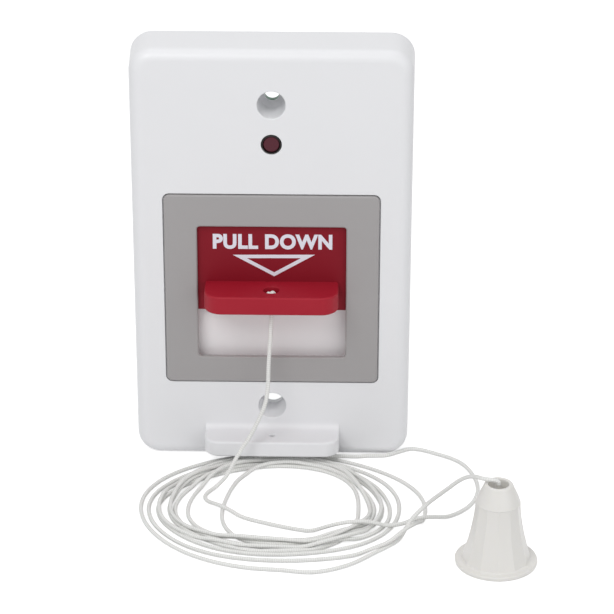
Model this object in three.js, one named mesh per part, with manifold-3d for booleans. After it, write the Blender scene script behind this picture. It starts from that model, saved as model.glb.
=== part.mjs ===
// Emergency pull cord alarm: a wall station with a red pull-down slide, its circuit board,
// and the free cord with its bell-shaped pull.
// Millimetres. X points right, Y points into the wall, Z points up.
// While it is modelled, y = 0 is the front face of the cover and z = 0 is its bottom edge.
import * as THREE from 'three';
import { mergeVertices } from 'three/addons/utils/BufferGeometryUtils.js';
import Module from 'manifold-3d';

const wasm = await Module();
wasm.setup();

// General fits
const GAP = 0.3;
const RUNNING_GAP = 0.3;
const PRESS_GAP = 0.2;

// How far a cut runs past a face, and how far two joined bodies run into each other
const CUT = 1;
const OVERLAP = 0.3;

// Facets round a turned form, by its size
const FACETS_LARGE = 26;
const FACETS_MEDIUM = 16;
const FACETS_SMALL = 12;
const FACETS_TINY = 8;
const SMALLEST_CORNER = 0.2;

// Cover
const COVER_WIDTH = 71.6;
const COVER_HEIGHT = 113;
const COVER_DEPTH = 13;
const COVER_WALL = 2;
const COVER_CORNER = 6;
const COVER_EDGE = 3;
const COVER_DRAFT = 0.35;
const COVER_INNER_CORNER = 1;
const RIM_STEP_DEPTH = 1.2;
const RIM_STEP_WIDTH = 0.8;

// Mounting screw tunnels, at the spacing of a single wall box
const SCREW_SPACING = 83.34;
const LOWER_SCREW_HEIGHT = 14.8;
const TUNNEL_MOUTH_RADIUS = 3.54;
const TUNNEL_END_RADIUS = 3.2;
const TUNNEL_WALL = 1.3;
const TUNNEL_SEAT_DEPTH = 7.2;
const TUNNEL_LENGTH = 9.2;
const UPPER_SEAT_RADIUS = 1.95;
const LOWER_SEAT_RADIUS = 2.9;

// Cord shelf at the foot of the cover
const SHELF_WIDTH = 35;
const SHELF_REACH = 8.5;
const SHELF_BOTTOM = 4;
const SHELF_THICKNESS = 4.3;
const SHELF_CORNER = 4;
const SHELF_FILLET = 1.6;
const SHELF_ROUND = 0.6;
const SHELF_HOLE_RADIUS = 0.7;

// Bezel
const BEZEL_WIDTH = 54.6;
const BEZEL_BOTTOM = 21.9;
const BEZEL_TOP = 74.1;
const BEZEL_CORNER = 1.5;
const BEZEL_PROUD = 0.5;
const BEZEL_THICKNESS = 1.1;
const BEZEL_EDGE = 0.5;
const BEZEL_LEDGE = 2.1;
const WINDOW_WIDTH = 37.9;
const WINDOW_BOTTOM = 29.1;
const WINDOW_TOP = 65.5;
const WINDOW_CORNER = 0.6;
const CLIP_THICKNESS = 1.2;
const CLIP_LENGTH = 5;
const CLIP_HOOK = 0.9;
const CLIP_HEIGHTS = [44, 57];

// Slide: a plate behind the window, a thinner skirt above it, and the handle
const SLIDE_WIDTH = 42;
const SLIDE_BOTTOM = 42;
const SLIDE_THICKNESS = 2;
const SKIRT_TOP = 79;
const SKIRT_THICKNESS = 1.7;
const SLIDE_TRAVEL = 12.5;
const HANDLE_WIDTH = 34.1;
const HANDLE_REACH = 10.3;
const HANDLE_BOTTOM = 45.05;
const HANDLE_THICKNESS = 4.85;
const HANDLE_CORNER = 4.5;
const HANDLE_EDGE = 0.45;
const HANDLE_POCKET_RADIUS = 2.08;
const HANDLE_POCKET_DEPTH = 3.1;
const HANDLE_HOLE_RADIUS = 0.85;
const CORD_SETBACK = 5.25;

// Magnet in the back of the slide
const MAGNET_WIDTH = 8;
const MAGNET_HEIGHT = 3;
const MAGNET_THICKNESS = 1;
const MAGNET_HEIGHT_AT = 66;

// Track behind the slide
const TRACK_WALL = 1.6;
const TRACK_FLOOR = 25;
const TRACK_LIP = 1.6;
const EAR_WIDTH = 7.6;
const EAR_THICKNESS = 1.6;
const EAR_HEIGHTS = [34, 70];
const EAR_CLEARANCE = 1.8;

// Detent spring behind the track
const SPRING_WIDTH = 5;
const SPRING_THICKNESS = 0.35;
const SPRING_HALF_LENGTH = 8;
const SPRING_NOSE_HALF = 2.6;
const SPRING_AT = 47;
const NOTCH_DEPTH = 0.5;
const STAKE_RADIUS = 0.8;
const STAKE_LENGTH = 1.2;
const STAKE_INSET = 2;

// Indicator lamp
const LAMP_HEIGHT = 87.7;
const LAMP_HOLE_RADIUS = 2.62;
const LAMP_SLEEVE_WALL = 0.3;
const LAMP_FLANGE = 1.4;
const LAMP_FLANGE_THICKNESS = 0.9;
const LAMP_COLLAR_WALL = 1.8;
const LAMP_COLLAR_DEPTH = 4.2;
const LAMP_RADIUS = 1.95;
const LAMP_LENGTH = 6.4;
const LAMP_SETBACK = 0.15;
const LAMP_DOME_HEIGHT = 1.1;
const LAMP_BASE_THICKNESS = 0.9;
const LAMP_BASE_LIP = 0.45;
const LAMP_LEG_PITCH = 2.54;

// Circuit board
const BOARD_WIDTH = 50;
const BOARD_BOTTOM = 19.9;
const BOARD_TOP_MARGIN = 6;
const BOARD_THICKNESS = 1.6;
const BOARD_FRONT = 9.5;
const BOARD_CORNER = 1.2;
const BOARD_SCREW_HOLE = 2;
const BOARD_POST_SPREAD = 20.5;
const UPPER_POST_INSET = 6;
const LEAD_RADIUS = 0.3;
const LEAD_HALF_WIDTH = 0.27;
const LEAD_TAIL = 0.5;
const LEAD_HOLE_RADIUS = 0.5;
const AXIAL_CHAMFER = 0.35;
const AXIAL_INSET = 16;
const AXIAL_SPREAD = 15;
const REED_RADIUS = 1.1;
const REED_LENGTH = 13;
const REED_SPAN = 18;
const RESISTOR_RADIUS = 1.1;
const RESISTOR_LENGTH = 6.2;
const RESISTOR_SPAN = 10;
const DIODE_RADIUS = 0.95;
const DIODE_LENGTH = 4.6;
const DIODE_SPAN = 9;
const WIRE_POSTS = [-6, 0, 6];
const WIRE_POST_HEIGHT = 56;
const WIRE_POST_RADIUS = 0.7;
const WIRE_POST_HEAD = 1.2;
const WIRE_POST_COLLAR = 0.4;
const WIRE_POST_WAIST = 0.6;

// Self-tapping screws
const SCREW_HEAD_RADIUS = 2;
const SCREW_HEAD_HEIGHT = 1.2;
const SCREW_CROWN_RADIUS = 1.5;
const SCREW_CROWN_HEIGHT = 0.6;
const SCREW_RADIUS = 0.9;
const SCREW_LENGTH = 4;
const SCREW_TIP_RADIUS = 0.45;
const SCREW_TIP_LENGTH = 1;
const SCREW_RECESS = 0.6;
const SCREW_CROSS_REACH = 1.1;
const SCREW_CROSS_HALF_WIDTH = 0.25;
const BOSS_RADIUS = 2.5;

// Bell pull
const BELL_X = 56.2;
const BELL_Y = -53.6;
const BELL_FLANGE_RADIUS = 10.1;
const BELL_FLANGE_THICKNESS = 1.1;
const BELL_FLANGE_EDGE = 0.3;
const BELL_FOOT_RADIUS = 8.4;
const BELL_FOOT_FILLET = 0.3;
const BELL_FLARE = 1.6;
const BELL_SHOULDER_RADIUS = 5.5;
const BELL_SHOULDER_HEIGHT = 16.5;
const BELL_SHOULDER_EDGE = 0.25;
const BELL_CONE_RADIUS = 4.7;
const BELL_CONE_HEIGHT = 18.8;
const BELL_RIM_RADIUS = 3.45;
const BELL_RIM_EDGE = 0.35;
const BELL_HEIGHT = 21.6;
const BELL_FLUTES = 12;
const BELL_MOUTH_RADIUS = 2.5;
const BELL_MOUTH_DEPTH = 4;
const BELL_WEB = 1.3;
const BELL_WALL = 1.3;
const BELL_HOLE_RADIUS = 0.85;

// Cord
const CORD_RADIUS = 0.53;
const CORD_SIDES = 8;
const KNOT_RADIUS = 1.6;
const KNOT_HEIGHT = 2.56;
const COIL_CENTRE_X = 3.4;
const COIL_CENTRE_Y = -29.6;
const COIL_MEAN_RADIUS = 28.4;
const COIL_BAND = 11;
const COIL_HEIGHT = 3.2;
const COIL_EDGE = 1;
const COIL_FACETS = 44;
const COIL_SQUASH = 0.83;

// Places worked out from the sizes above
const bezelFront = -BEZEL_PROUD;
const bezelBack = bezelFront + BEZEL_THICKNESS;
const slideFront = bezelBack + RUNNING_GAP;
const slideBack = slideFront + SLIDE_THICKNESS;
const skirtFront = COVER_WALL + RUNNING_GAP;
const skirtBack = skirtFront + SKIRT_THICKNESS;
const lowerWallFront = slideBack + RUNNING_GAP;
const upperWallFront = skirtBack + RUNNING_GAP;
const trackInner = SLIDE_WIDTH / 2 + RUNNING_GAP;
const trackOuter = trackInner + TRACK_WALL;
const trackBack = upperWallFront + TRACK_WALL;
const trackTop = SKIRT_TOP + RUNNING_GAP + TRACK_WALL;
const upperScrewHeight = LOWER_SCREW_HEIGHT + SCREW_SPACING;
const cordLine = slideFront - CORD_SETBACK;
const bezelMiddle = (BEZEL_BOTTOM + BEZEL_TOP) / 2;
const bezelHeight = BEZEL_TOP - BEZEL_BOTTOM;
const openingWidth = BEZEL_WIDTH - 2 * BEZEL_LEDGE;
const openingHeight = bezelHeight - 2 * BEZEL_LEDGE;
const openingTop = bezelMiddle + openingHeight / 2;
const skirtBottom = openingTop - RUNNING_GAP;
const shoulderHeight = skirtBottom - (skirtBack - slideBack);
const trackStep = shoulderHeight - SLIDE_TRAVEL - RUNNING_GAP;
const earFront = trackBack - EAR_THICKNESS;
const coverInner = COVER_WIDTH / 2 - COVER_WALL;
const earEnd = coverInner - EAR_CLEARANCE;
const earPlace = (trackOuter + coverInner) / 2;
const stakeOffset = SPRING_HALF_LENGTH - STAKE_INSET;
const boardBack = BOARD_FRONT + BOARD_THICKNESS;
const trackScrewSeat = trackBack + PRESS_GAP;
const boardScrewSeat = boardBack + PRESS_GAP;
const lowerPostHeight = TRACK_FLOOR - BOSS_RADIUS - GAP;
const bothSides = (reach, heights) => heights.flatMap((z) => [[-reach, z], [reach, z]]);
const boardTop = COVER_HEIGHT - BOARD_TOP_MARGIN;
const boardPosts = bothSides(BOARD_POST_SPREAD, [boardTop - UPPER_POST_INSET, lowerPostHeight]);
const axialHeight = boardTop - AXIAL_INSET;
const earCentres = bothSides(earPlace, EAR_HEIGHTS);
const wirePostCentres = WIRE_POSTS.map((x) => [x, WIRE_POST_HEIGHT]);
const shelfTop = SHELF_BOTTOM + SHELF_THICKNESS;
const handleTop = HANDLE_BOTTOM + HANDLE_THICKNESS;
const pocketFloor = handleTop - HANDLE_POCKET_DEPTH;
const bellFoot = BELL_FLANGE_THICKNESS + BELL_FOOT_FILLET;
const bellMouthFloor = BELL_HEIGHT - BELL_MOUTH_DEPTH;
const bellWebBottom = bellMouthFloor - BELL_WEB;
const originY = (COVER_DEPTH + slideFront - HANDLE_REACH) / 2;

// Finishes
const finish = (color, roughness, metalness = 0) => ({ color, roughness, metalness });
const WHITE_PLASTIC = finish(0xe4e4e6, 0.38);
const GREY_PLASTIC = finish(0xa5a1a1, 0.45);
const RED_PLASTIC = finish(0xa81f34, 0.4);
const TRACK_PLASTIC = finish(0xd8d5d6, 0.45);
const BLACK_PLASTIC = finish(0x16130f, 0.4);
const LAMP_RESIN = finish(0x4a0b18, 0.15);
const BOARD_GREEN = finish(0x1f7a55, 0.5);
const STEEL = finish(0xc4c5c6, 0.3, 1);
const BRASS = finish(0xc9a75a, 0.3, 1);
const MAGNET_BLACK = finish(0x2c2c2e, 0.5, 0.4);
const GLASS = finish(0x9fb59f, 0.1);
const RESISTOR_TAN = finish(0xcdb58a, 0.5);
const DIODE_BLACK = finish(0x1d1d1f, 0.4);
const CORD_WHITE = finish(0xe2e1da, 0.8);
const PULL_WHITE = finish(0xe3e2dd, 0.35);

const station = new THREE.Group();
const slideGroup = new THREE.Group();
const cordGroup = new THREE.Group();

// Turns a triangle list into a solid; shared corners are merged and slivers of no area dropped.
function solidOf(geometry) {
  const bare = geometry.index ? geometry.toNonIndexed() : geometry.clone();
  bare.deleteAttribute('normal');
  bare.deleteAttribute('uv');
  const merged = mergeVertices(bare, 1e-4);
  const index = merged.index.array;
  const kept = [];
  for (let at = 0; at < index.length; at += 3) {
    const [a, b, c] = [index[at], index[at + 1], index[at + 2]];
    if (a !== b && b !== c && c !== a) {
      kept.push(a, b, c);
    }
  }
  return new wasm.Manifold(new wasm.Mesh({
    numProp: 3,
    vertProperties: new Float32Array(merged.attributes.position.array),
    triVerts: new Uint32Array(kept),
  }));
}

function addPiece(group, name, solid, look) {
  const mesh = solid.getMesh();
  const geometry = new THREE.BufferGeometry();
  geometry.setAttribute('position', new THREE.BufferAttribute(new Float32Array(mesh.vertProperties), 3));
  geometry.setIndex(new THREE.BufferAttribute(new Uint32Array(mesh.triVerts), 1));
  geometry.computeVertexNormals();
  const piece = new THREE.Mesh(geometry, new THREE.MeshStandardMaterial(look));
  piece.name = name;
  group.add(piece);
}

function joined(solids) {
  return solids.reduce((sum, solid) => sum.add(solid));
}

function cutBy(solid, tools) {
  return tools.length ? solid.subtract(joined(tools)) : solid;
}

// A box between two corners.
function box(x0, x1, y0, y1, z0, z1) {
  const geometry = new THREE.BoxGeometry(x1 - x0, y1 - y0, z1 - z0);
  geometry.translate((x0 + x1) / 2, (y0 + y1) / 2, (z0 + z1) / 2);
  return solidOf(geometry);
}

// A profile drawn in (y, z), extruded evenly to both sides of x = middle.
function alongX(profile, width, middle = 0) {
  const shape = new THREE.Shape(profile.map(([y, z]) => new THREE.Vector2(y, z)));
  const geometry = new THREE.ExtrudeGeometry(shape, { depth: width, bevelEnabled: false });
  const turn = new THREE.Matrix4().makeBasis(
    new THREE.Vector3(0, 1, 0),
    new THREE.Vector3(0, 0, 1),
    new THREE.Vector3(1, 0, 0),
  );
  geometry.applyMatrix4(turn);
  geometry.translate(middle - width / 2, 0, 0);
  return solidOf(geometry);
}

// A profile of [radius, y] points turned about an axis that runs along Y through (x, z).
function turnedOnY(profile, x, z, segments) {
  const points = profile.map(([radius, y]) => new THREE.Vector2(radius, y));
  const geometry = new THREE.LatheGeometry(points, segments);
  geometry.translate(x, 0, z);
  return solidOf(geometry);
}

// A profile of [radius, z] points turned about an upright axis through (x, y).
function turnedOnZ(profile, x, y, segments) {
  const points = profile.map(([radius, z]) => new THREE.Vector2(radius, z));
  const geometry = new THREE.LatheGeometry(points, segments);
  geometry.rotateX(Math.PI / 2);
  geometry.translate(x, y, 0);
  return solidOf(geometry);
}

function rod(radius, y0, y1, x, z, segments) {
  return turnedOnY([[0, y0], [radius, y0], [radius, y1], [0, y1]], x, z, segments);
}

function uprightRod(radius, z0, z1, x, y, segments) {
  return turnedOnZ([[0, z0], [radius, z0], [radius, z1], [0, z1]], x, y, segments);
}

// Outline of a rectangle with round corners, as [u, v] pairs around its centre.
function roundedOutline(width, height, corner, steps) {
  const outline = [];
  for (let quarter = 0; quarter < 4; quarter += 1) {
    const u = (quarter === 0 || quarter === 3 ? 1 : -1) * (width / 2 - corner);
    const v = (quarter < 2 ? 1 : -1) * (height / 2 - corner);
    for (let step = 0; step <= steps; step += 1) {
      const angle = (quarter + step / steps) * Math.PI / 2;
      outline.push([u + corner * Math.cos(angle), v + corner * Math.sin(angle)]);
    }
  }
  return outline;
}

function ringMiddle(ring) {
  return ring.reduce((sum, point) => sum.add(point), new THREE.Vector3()).divideScalar(ring.length);
}

// Skins a stack of rings that all have the same number of points, and caps both ends.
function loft(rings) {
  const count = rings[0].length;
  const triangles = [];
  for (let level = 0; level + 1 < rings.length; level += 1) {
    const [lower, upper] = [rings[level], rings[level + 1]];
    for (let at = 0; at < count; at += 1) {
      const next = (at + 1) % count;
      triangles.push(lower[at], lower[next], upper[next], lower[at], upper[next], upper[at]);
    }
  }
  const [first, last] = [rings[0], rings[rings.length - 1]];
  const [start, end] = [ringMiddle(first), ringMiddle(last)];
  for (let at = 0; at < count; at += 1) {
    const next = (at + 1) % count;
    triangles.push(start, first[next], first[at], end, last[at], last[next]);
  }
  return solidOf(new THREE.BufferGeometry().setFromPoints(outward(triangles)));
}

// Turns every triangle over where the body they enclose would be inside out.
function outward(triangles) {
  let volume = 0;
  const cross = new THREE.Vector3();
  for (let at = 0; at < triangles.length; at += 3) {
    volume += triangles[at].dot(cross.crossVectors(triangles[at + 1], triangles[at + 2]));
  }
  return volume > 0 ? triangles : triangles.toReversed();
}

function insetOutline(width, height, corner, inset, steps) {
  const round = Math.max(corner - inset, SMALLEST_CORNER);
  return roundedOutline(width - 2 * inset, height - 2 * inset, round, steps);
}

// A rounded rectangle in (x, z) that grows along Y; each level is [y, inset, drop].
function panel(width, height, corner, middleZ, levels, steps = 5) {
  return loft(levels.map(([y, inset, drop = 0]) => {
    const outline = insetOutline(width, height, corner, inset, steps);
    return outline.map(([u, v]) => new THREE.Vector3(u, y, middleZ - drop + v));
  }));
}

// A rounded rectangle in (x, y) that grows along Z; each level is [z, inset].
function slab(width, depth, corner, middleX, middleY, levels, steps = 6) {
  return loft(levels.map(([z, inset]) => {
    const outline = insetOutline(width, depth, corner, inset, steps);
    return outline.map(([u, v]) => new THREE.Vector3(middleX + u, middleY + v, z));
  }));
}

// Levels of a quarter-round edge that starts at a face and ends at the full outline.
function roundedEdge(start, radius, direction, steps) {
  const levels = [];
  for (let step = 0; step <= steps; step += 1) {
    const angle = step / steps * Math.PI / 2;
    levels.push([start + direction * radius * (1 - Math.cos(angle)), radius * (1 - Math.sin(angle))]);
  }
  return levels;
}

// Cover: a shell, open at the back, drafted at its sides and top and flat at its foot
function coverShell() {
  const middle = COVER_HEIGHT / 2;
  const drafted = ([y, inset]) => [y, inset + COVER_DRAFT, COVER_DRAFT];
  const outside = panel(COVER_WIDTH, COVER_HEIGHT, COVER_CORNER, middle, [
    ...roundedEdge(0, COVER_EDGE, 1, 6).map(drafted),
    [COVER_DEPTH, 0],
  ], 7);
  const hollow = panel(COVER_WIDTH, COVER_HEIGHT, COVER_CORNER, middle, [
    drafted([COVER_WALL, COVER_WALL + COVER_INNER_CORNER]),
    drafted([COVER_WALL + COVER_INNER_CORNER, COVER_WALL]),
    [COVER_DEPTH, COVER_WALL],
    [COVER_DEPTH + CUT, COVER_WALL],
  ]);
  const step = panel(COVER_WIDTH, COVER_HEIGHT, COVER_CORNER, middle, [
    [COVER_DEPTH - RIM_STEP_DEPTH, COVER_WALL - RIM_STEP_WIDTH],
    [COVER_DEPTH + CUT, COVER_WALL - RIM_STEP_WIDTH],
  ]);
  return outside.subtract(hollow).subtract(step);
}

function tunnelTube(height) {
  return rod(TUNNEL_MOUTH_RADIUS + TUNNEL_WALL, COVER_WALL / 2, TUNNEL_LENGTH, 0, height, FACETS_LARGE);
}

function tunnelBore(height, seatRadius) {
  const run = TUNNEL_END_RADIUS - seatRadius;
  return turnedOnY([
    [0, -CUT],
    [TUNNEL_MOUTH_RADIUS, -CUT],
    [TUNNEL_MOUTH_RADIUS, 0],
    [TUNNEL_END_RADIUS, TUNNEL_SEAT_DEPTH],
    [seatRadius, TUNNEL_SEAT_DEPTH + run],
    [seatRadius, TUNNEL_LENGTH + CUT],
    [0, TUNNEL_LENGTH + CUT],
  ], 0, height, FACETS_LARGE);
}

// Side view of the shelf, with a concave fillet where its top meets the cover
function shelfProfile(root) {
  const profile = [[root, SHELF_BOTTOM], [-SHELF_REACH - CUT, SHELF_BOTTOM], [-SHELF_REACH - CUT, shelfTop]];
  const steps = 5;
  for (let step = 0; step <= steps; step += 1) {
    const angle = step / steps * Math.PI / 2;
    profile.push([
      -SHELF_FILLET * (1 - Math.sin(angle)),
      shelfTop + SHELF_FILLET * (1 - Math.cos(angle)),
    ]);
  }
  profile.push([root, shelfTop + SHELF_FILLET]);
  return profile;
}

function coverShelf() {
  const root = COVER_WALL / 2;
  const [depth, half] = [2 * SHELF_REACH, SHELF_WIDTH / 2];
  const plan = slab(SHELF_WIDTH, depth, SHELF_CORNER, 0, 0, [
    ...roundedEdge(SHELF_BOTTOM, SHELF_ROUND, 1, 3),
    ...roundedEdge(shelfTop, SHELF_ROUND, -1, 3).reverse(),
  ]);
  const front = box(-SHELF_WIDTH, SHELF_WIDTH, -depth, root, 0, COVER_HEIGHT);
  const fillet = box(-half, half, -SHELF_FILLET, root, shelfTop - SHELF_ROUND, shelfTop + SHELF_FILLET);
  const hole = uprightRod(SHELF_HOLE_RADIUS, 0, shelfTop + CUT, 0, cordLine, FACETS_MEDIUM);
  const body = alongX(shelfProfile(root), SHELF_WIDTH);
  return body.intersect(plan.intersect(front).add(fillet)).subtract(hole);
}

function boss(x, z, back) {
  return rod(BOSS_RADIUS, COVER_WALL / 2, back, x, z, FACETS_MEDIUM);
}

// Blind hole for a screw whose head sits at the given depth
function pilotHole(x, z, back, seat) {
  return rod(SCREW_RADIUS + PRESS_GAP, seat - SCREW_LENGTH - GAP, back + CUT, x, z, FACETS_SMALL);
}

function makeCover() {
  const earBack = earFront - GAP;
  const boardSeat = BOARD_FRONT - GAP;
  const added = [
    coverShell(),
    coverShelf(),
    tunnelTube(upperScrewHeight),
    tunnelTube(LOWER_SCREW_HEIGHT),
    rod(LAMP_HOLE_RADIUS + LAMP_COLLAR_WALL, COVER_WALL / 2, LAMP_COLLAR_DEPTH, 0, LAMP_HEIGHT, FACETS_LARGE),
    ...earCentres.map(([x, z]) => boss(x, z, earBack)),
    ...boardPosts.map(([x, z]) => boss(x, z, boardSeat)),
  ];
  const pocket = panel(BEZEL_WIDTH + 2 * GAP, bezelHeight + 2 * GAP, BEZEL_CORNER, bezelMiddle, [
    [-CUT, 0],
    [bezelBack + GAP, 0],
  ]);
  const opening = panel(openingWidth, openingHeight, BEZEL_CORNER, bezelMiddle, [
    [-CUT, 0],
    [COVER_WALL + CUT, 0],
  ]);
  const cuts = [
    pocket,
    opening,
    tunnelBore(upperScrewHeight, UPPER_SEAT_RADIUS),
    tunnelBore(LOWER_SCREW_HEIGHT, LOWER_SEAT_RADIUS),
    rod(LAMP_HOLE_RADIUS, -CUT, LAMP_COLLAR_DEPTH + CUT, 0, LAMP_HEIGHT, FACETS_LARGE),
    ...earCentres.map(([x, z]) => pilotHole(x, z, earBack, trackScrewSeat)),
    ...boardPosts.map(([x, z]) => pilotHole(x, z, boardSeat, boardScrewSeat)),
  ];
  addPiece(station, 'front_cover', cutBy(joined(added), cuts), WHITE_PLASTIC);
}

// Bezel: the grey frame round the window, with four snap clips
function bezelClip(side, z) {
  const outer = openingWidth / 2 - GAP;
  const inner = outer - CLIP_THICKNESS;
  const hookStart = COVER_WALL + GAP;
  const tip = hookStart + CLIP_HOOK;
  const half = CLIP_LENGTH / 2;
  const root = bezelBack - OVERLAP;
  const outline = [[inner, root], [outer, root], [outer, hookStart], [outer + CLIP_HOOK, hookStart],
    [outer, tip], [inner, tip]];
  const level = (height) => outline.map(([x, y]) => new THREE.Vector3(side * x, y, height));
  return loft([level(z - half), level(z + half)]);
}

function makeBezel() {
  const edge = roundedEdge(bezelFront, BEZEL_EDGE, 1, 3);
  const frame = panel(BEZEL_WIDTH, bezelHeight, BEZEL_CORNER, bezelMiddle, [...edge, [bezelBack, 0]]);
  const [windowHeight, windowMiddle] = [WINDOW_TOP - WINDOW_BOTTOM, (WINDOW_TOP + WINDOW_BOTTOM) / 2];
  const opening = panel(WINDOW_WIDTH, windowHeight, WINDOW_CORNER, windowMiddle, [
    [bezelFront - CUT, -BEZEL_EDGE],
    ...edge.map(([y, inset]) => [y, -inset]),
    [bezelBack + CUT, 0],
  ]);
  const clips = CLIP_HEIGHTS.flatMap((z) => [bezelClip(-1, z), bezelClip(1, z)]);
  addPiece(station, 'bezel', joined([frame.subtract(opening), ...clips]), GREY_PLASTIC);
}

// Slide: the plate and its skirt are one profile; the handle stands out of the plate
function slideProfile() {
  return [
    [slideFront, SLIDE_BOTTOM],
    [slideBack, SLIDE_BOTTOM],
    [slideBack, shoulderHeight],
    [skirtBack, shoulderHeight],
    [skirtBack, SKIRT_TOP],
    [skirtFront, SKIRT_TOP],
    [skirtFront, skirtBottom],
    [slideFront, skirtBottom],
  ];
}

function slideHandle() {
  const depth = 2 * HANDLE_REACH;
  const plan = slab(HANDLE_WIDTH, depth, HANDLE_CORNER, 0, slideFront, [
    ...roundedEdge(HANDLE_BOTTOM, HANDLE_EDGE, 1, 3),
    ...roundedEdge(handleTop, HANDLE_EDGE, -1, 3).reverse(),
  ]);
  const root = slideFront + SLIDE_THICKNESS / 2;
  return plan.intersect(box(-SLIDE_WIDTH, SLIDE_WIDTH, -depth, root, 0, COVER_HEIGHT));
}

// V-shaped notch in the back of the slide, for the nose of the spring
function detentNotch(z) {
  const half = SPRING_NOSE_HALF / 2;
  return alongX([
    [slideBack + CUT, z - half],
    [slideBack + CUT, z + half],
    [slideBack, z + half],
    [slideBack - NOTCH_DEPTH, z],
    [slideBack, z - half],
  ], SPRING_WIDTH + 2 * GAP);
}

// The magnet's block, or with a play the pocket that it is pressed into.
function magnetBlock(play, back) {
  const [halfWidth, halfHeight] = [MAGNET_WIDTH / 2 + play, MAGNET_HEIGHT / 2 + play];
  return box(-halfWidth, halfWidth, slideBack - MAGNET_THICKNESS - play, back,
    MAGNET_HEIGHT_AT - halfHeight, MAGNET_HEIGHT_AT + halfHeight);
}

function makeSlide() {
  const cuts = [
    uprightRod(HANDLE_POCKET_RADIUS, pocketFloor, handleTop + CUT, 0, cordLine, FACETS_LARGE),
    uprightRod(HANDLE_HOLE_RADIUS, HANDLE_BOTTOM - CUT, handleTop, 0, cordLine, FACETS_MEDIUM),
    magnetBlock(PRESS_GAP, slideBack + CUT),
    detentNotch(SPRING_AT),
    detentNotch(SPRING_AT + SLIDE_TRAVEL),
  ];
  const body = joined([alongX(slideProfile(), SLIDE_WIDTH), slideHandle()]);
  addPiece(slideGroup, 'slide', cutBy(body, cuts), RED_PLASTIC);
}

function makeMagnet() {
  addPiece(slideGroup, 'magnet', magnetBlock(0, slideBack), MAGNET_BLACK);
}

// A knot is a plain bead.
function knotBead(bottom, x, y) {
  const profile = [[0, bottom]];
  const steps = 8;
  for (let step = 1; step < steps; step += 1) {
    const angle = step / steps * Math.PI;
    profile.push([KNOT_RADIUS * Math.sin(angle), bottom + KNOT_HEIGHT / 2 * (1 - Math.cos(angle))]);
  }
  profile.push([0, bottom + KNOT_HEIGHT]);
  return turnedOnZ(profile, x, y, FACETS_SMALL);
}

function makeSlideKnot() {
  addPiece(slideGroup, 'slide_knot', knotBead(pocketFloor + GAP, 0, cordLine), CORD_WHITE);
}

// Track: the white tray behind the window that the slide runs in
function trackWallProfile() {
  return [
    [lowerWallFront, TRACK_FLOOR],
    [lowerWallFront + TRACK_WALL, TRACK_FLOOR],
    [lowerWallFront + TRACK_WALL, trackStep - TRACK_WALL],
    [trackBack, trackStep - TRACK_WALL],
    [trackBack, trackTop],
    [upperWallFront, trackTop],
    [upperWallFront, trackStep],
    [lowerWallFront, trackStep],
  ];
}

function trackSideProfile() {
  const front = bezelBack + GAP;
  const cheekTop = openingTop - GAP;
  const upper = COVER_WALL + GAP;
  return [
    [front, TRACK_FLOOR],
    [trackBack, TRACK_FLOOR],
    [trackBack, trackTop],
    [upper, trackTop],
    [upper, cheekTop],
    [front, cheekTop],
  ];
}

function springSlot() {
  const [halfWidth, half] = [SPRING_WIDTH / 2 + GAP, SPRING_NOSE_HALF + GAP];
  return box(-halfWidth, halfWidth, slideBack, trackBack, SPRING_AT - half, SPRING_AT + half);
}

function trackEar(x, z) {
  const [inner, outer] = [trackOuter - OVERLAP, earEnd];
  const [from, to] = x < 0 ? [-outer, -inner] : [inner, outer];
  return box(from, to, earFront, trackBack, z - EAR_WIDTH / 2, z + EAR_WIDTH / 2);
}

// The two stakes that hold the spring, or with a play the holes for them
function springStakes(radius, from, to) {
  return [-stakeOffset, stakeOffset].map((way) => rod(radius, from, to, 0, SPRING_AT + way, FACETS_SMALL));
}

function makeTrack() {
  const middle = (trackInner + trackOuter) / 2;
  const wallBack = lowerWallFront + TRACK_WALL;
  const body = joined([
    alongX(trackWallProfile(), 2 * trackInner + TRACK_WALL),
    alongX(trackSideProfile(), TRACK_WALL, middle),
    alongX(trackSideProfile(), TRACK_WALL, -middle),
    box(-middle, middle, bezelBack + GAP, wallBack, TRACK_FLOOR, TRACK_FLOOR + TRACK_LIP),
    box(-middle, middle, COVER_WALL + GAP, trackBack, SKIRT_TOP + RUNNING_GAP, trackTop),
    ...springStakes(STAKE_RADIUS, wallBack - OVERLAP, wallBack + STAKE_LENGTH),
    ...earCentres.map(([x, z]) => trackEar(x, z)),
  ]);
  const holes = earCentres.map(([x, z]) => (
    rod(SCREW_RADIUS + GAP, earFront - CUT, trackBack + CUT, x, z, FACETS_SMALL)
  ));
  addPiece(station, 'track', cutBy(body, [springSlot(), ...holes]), TRACK_PLASTIC);
}

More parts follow.
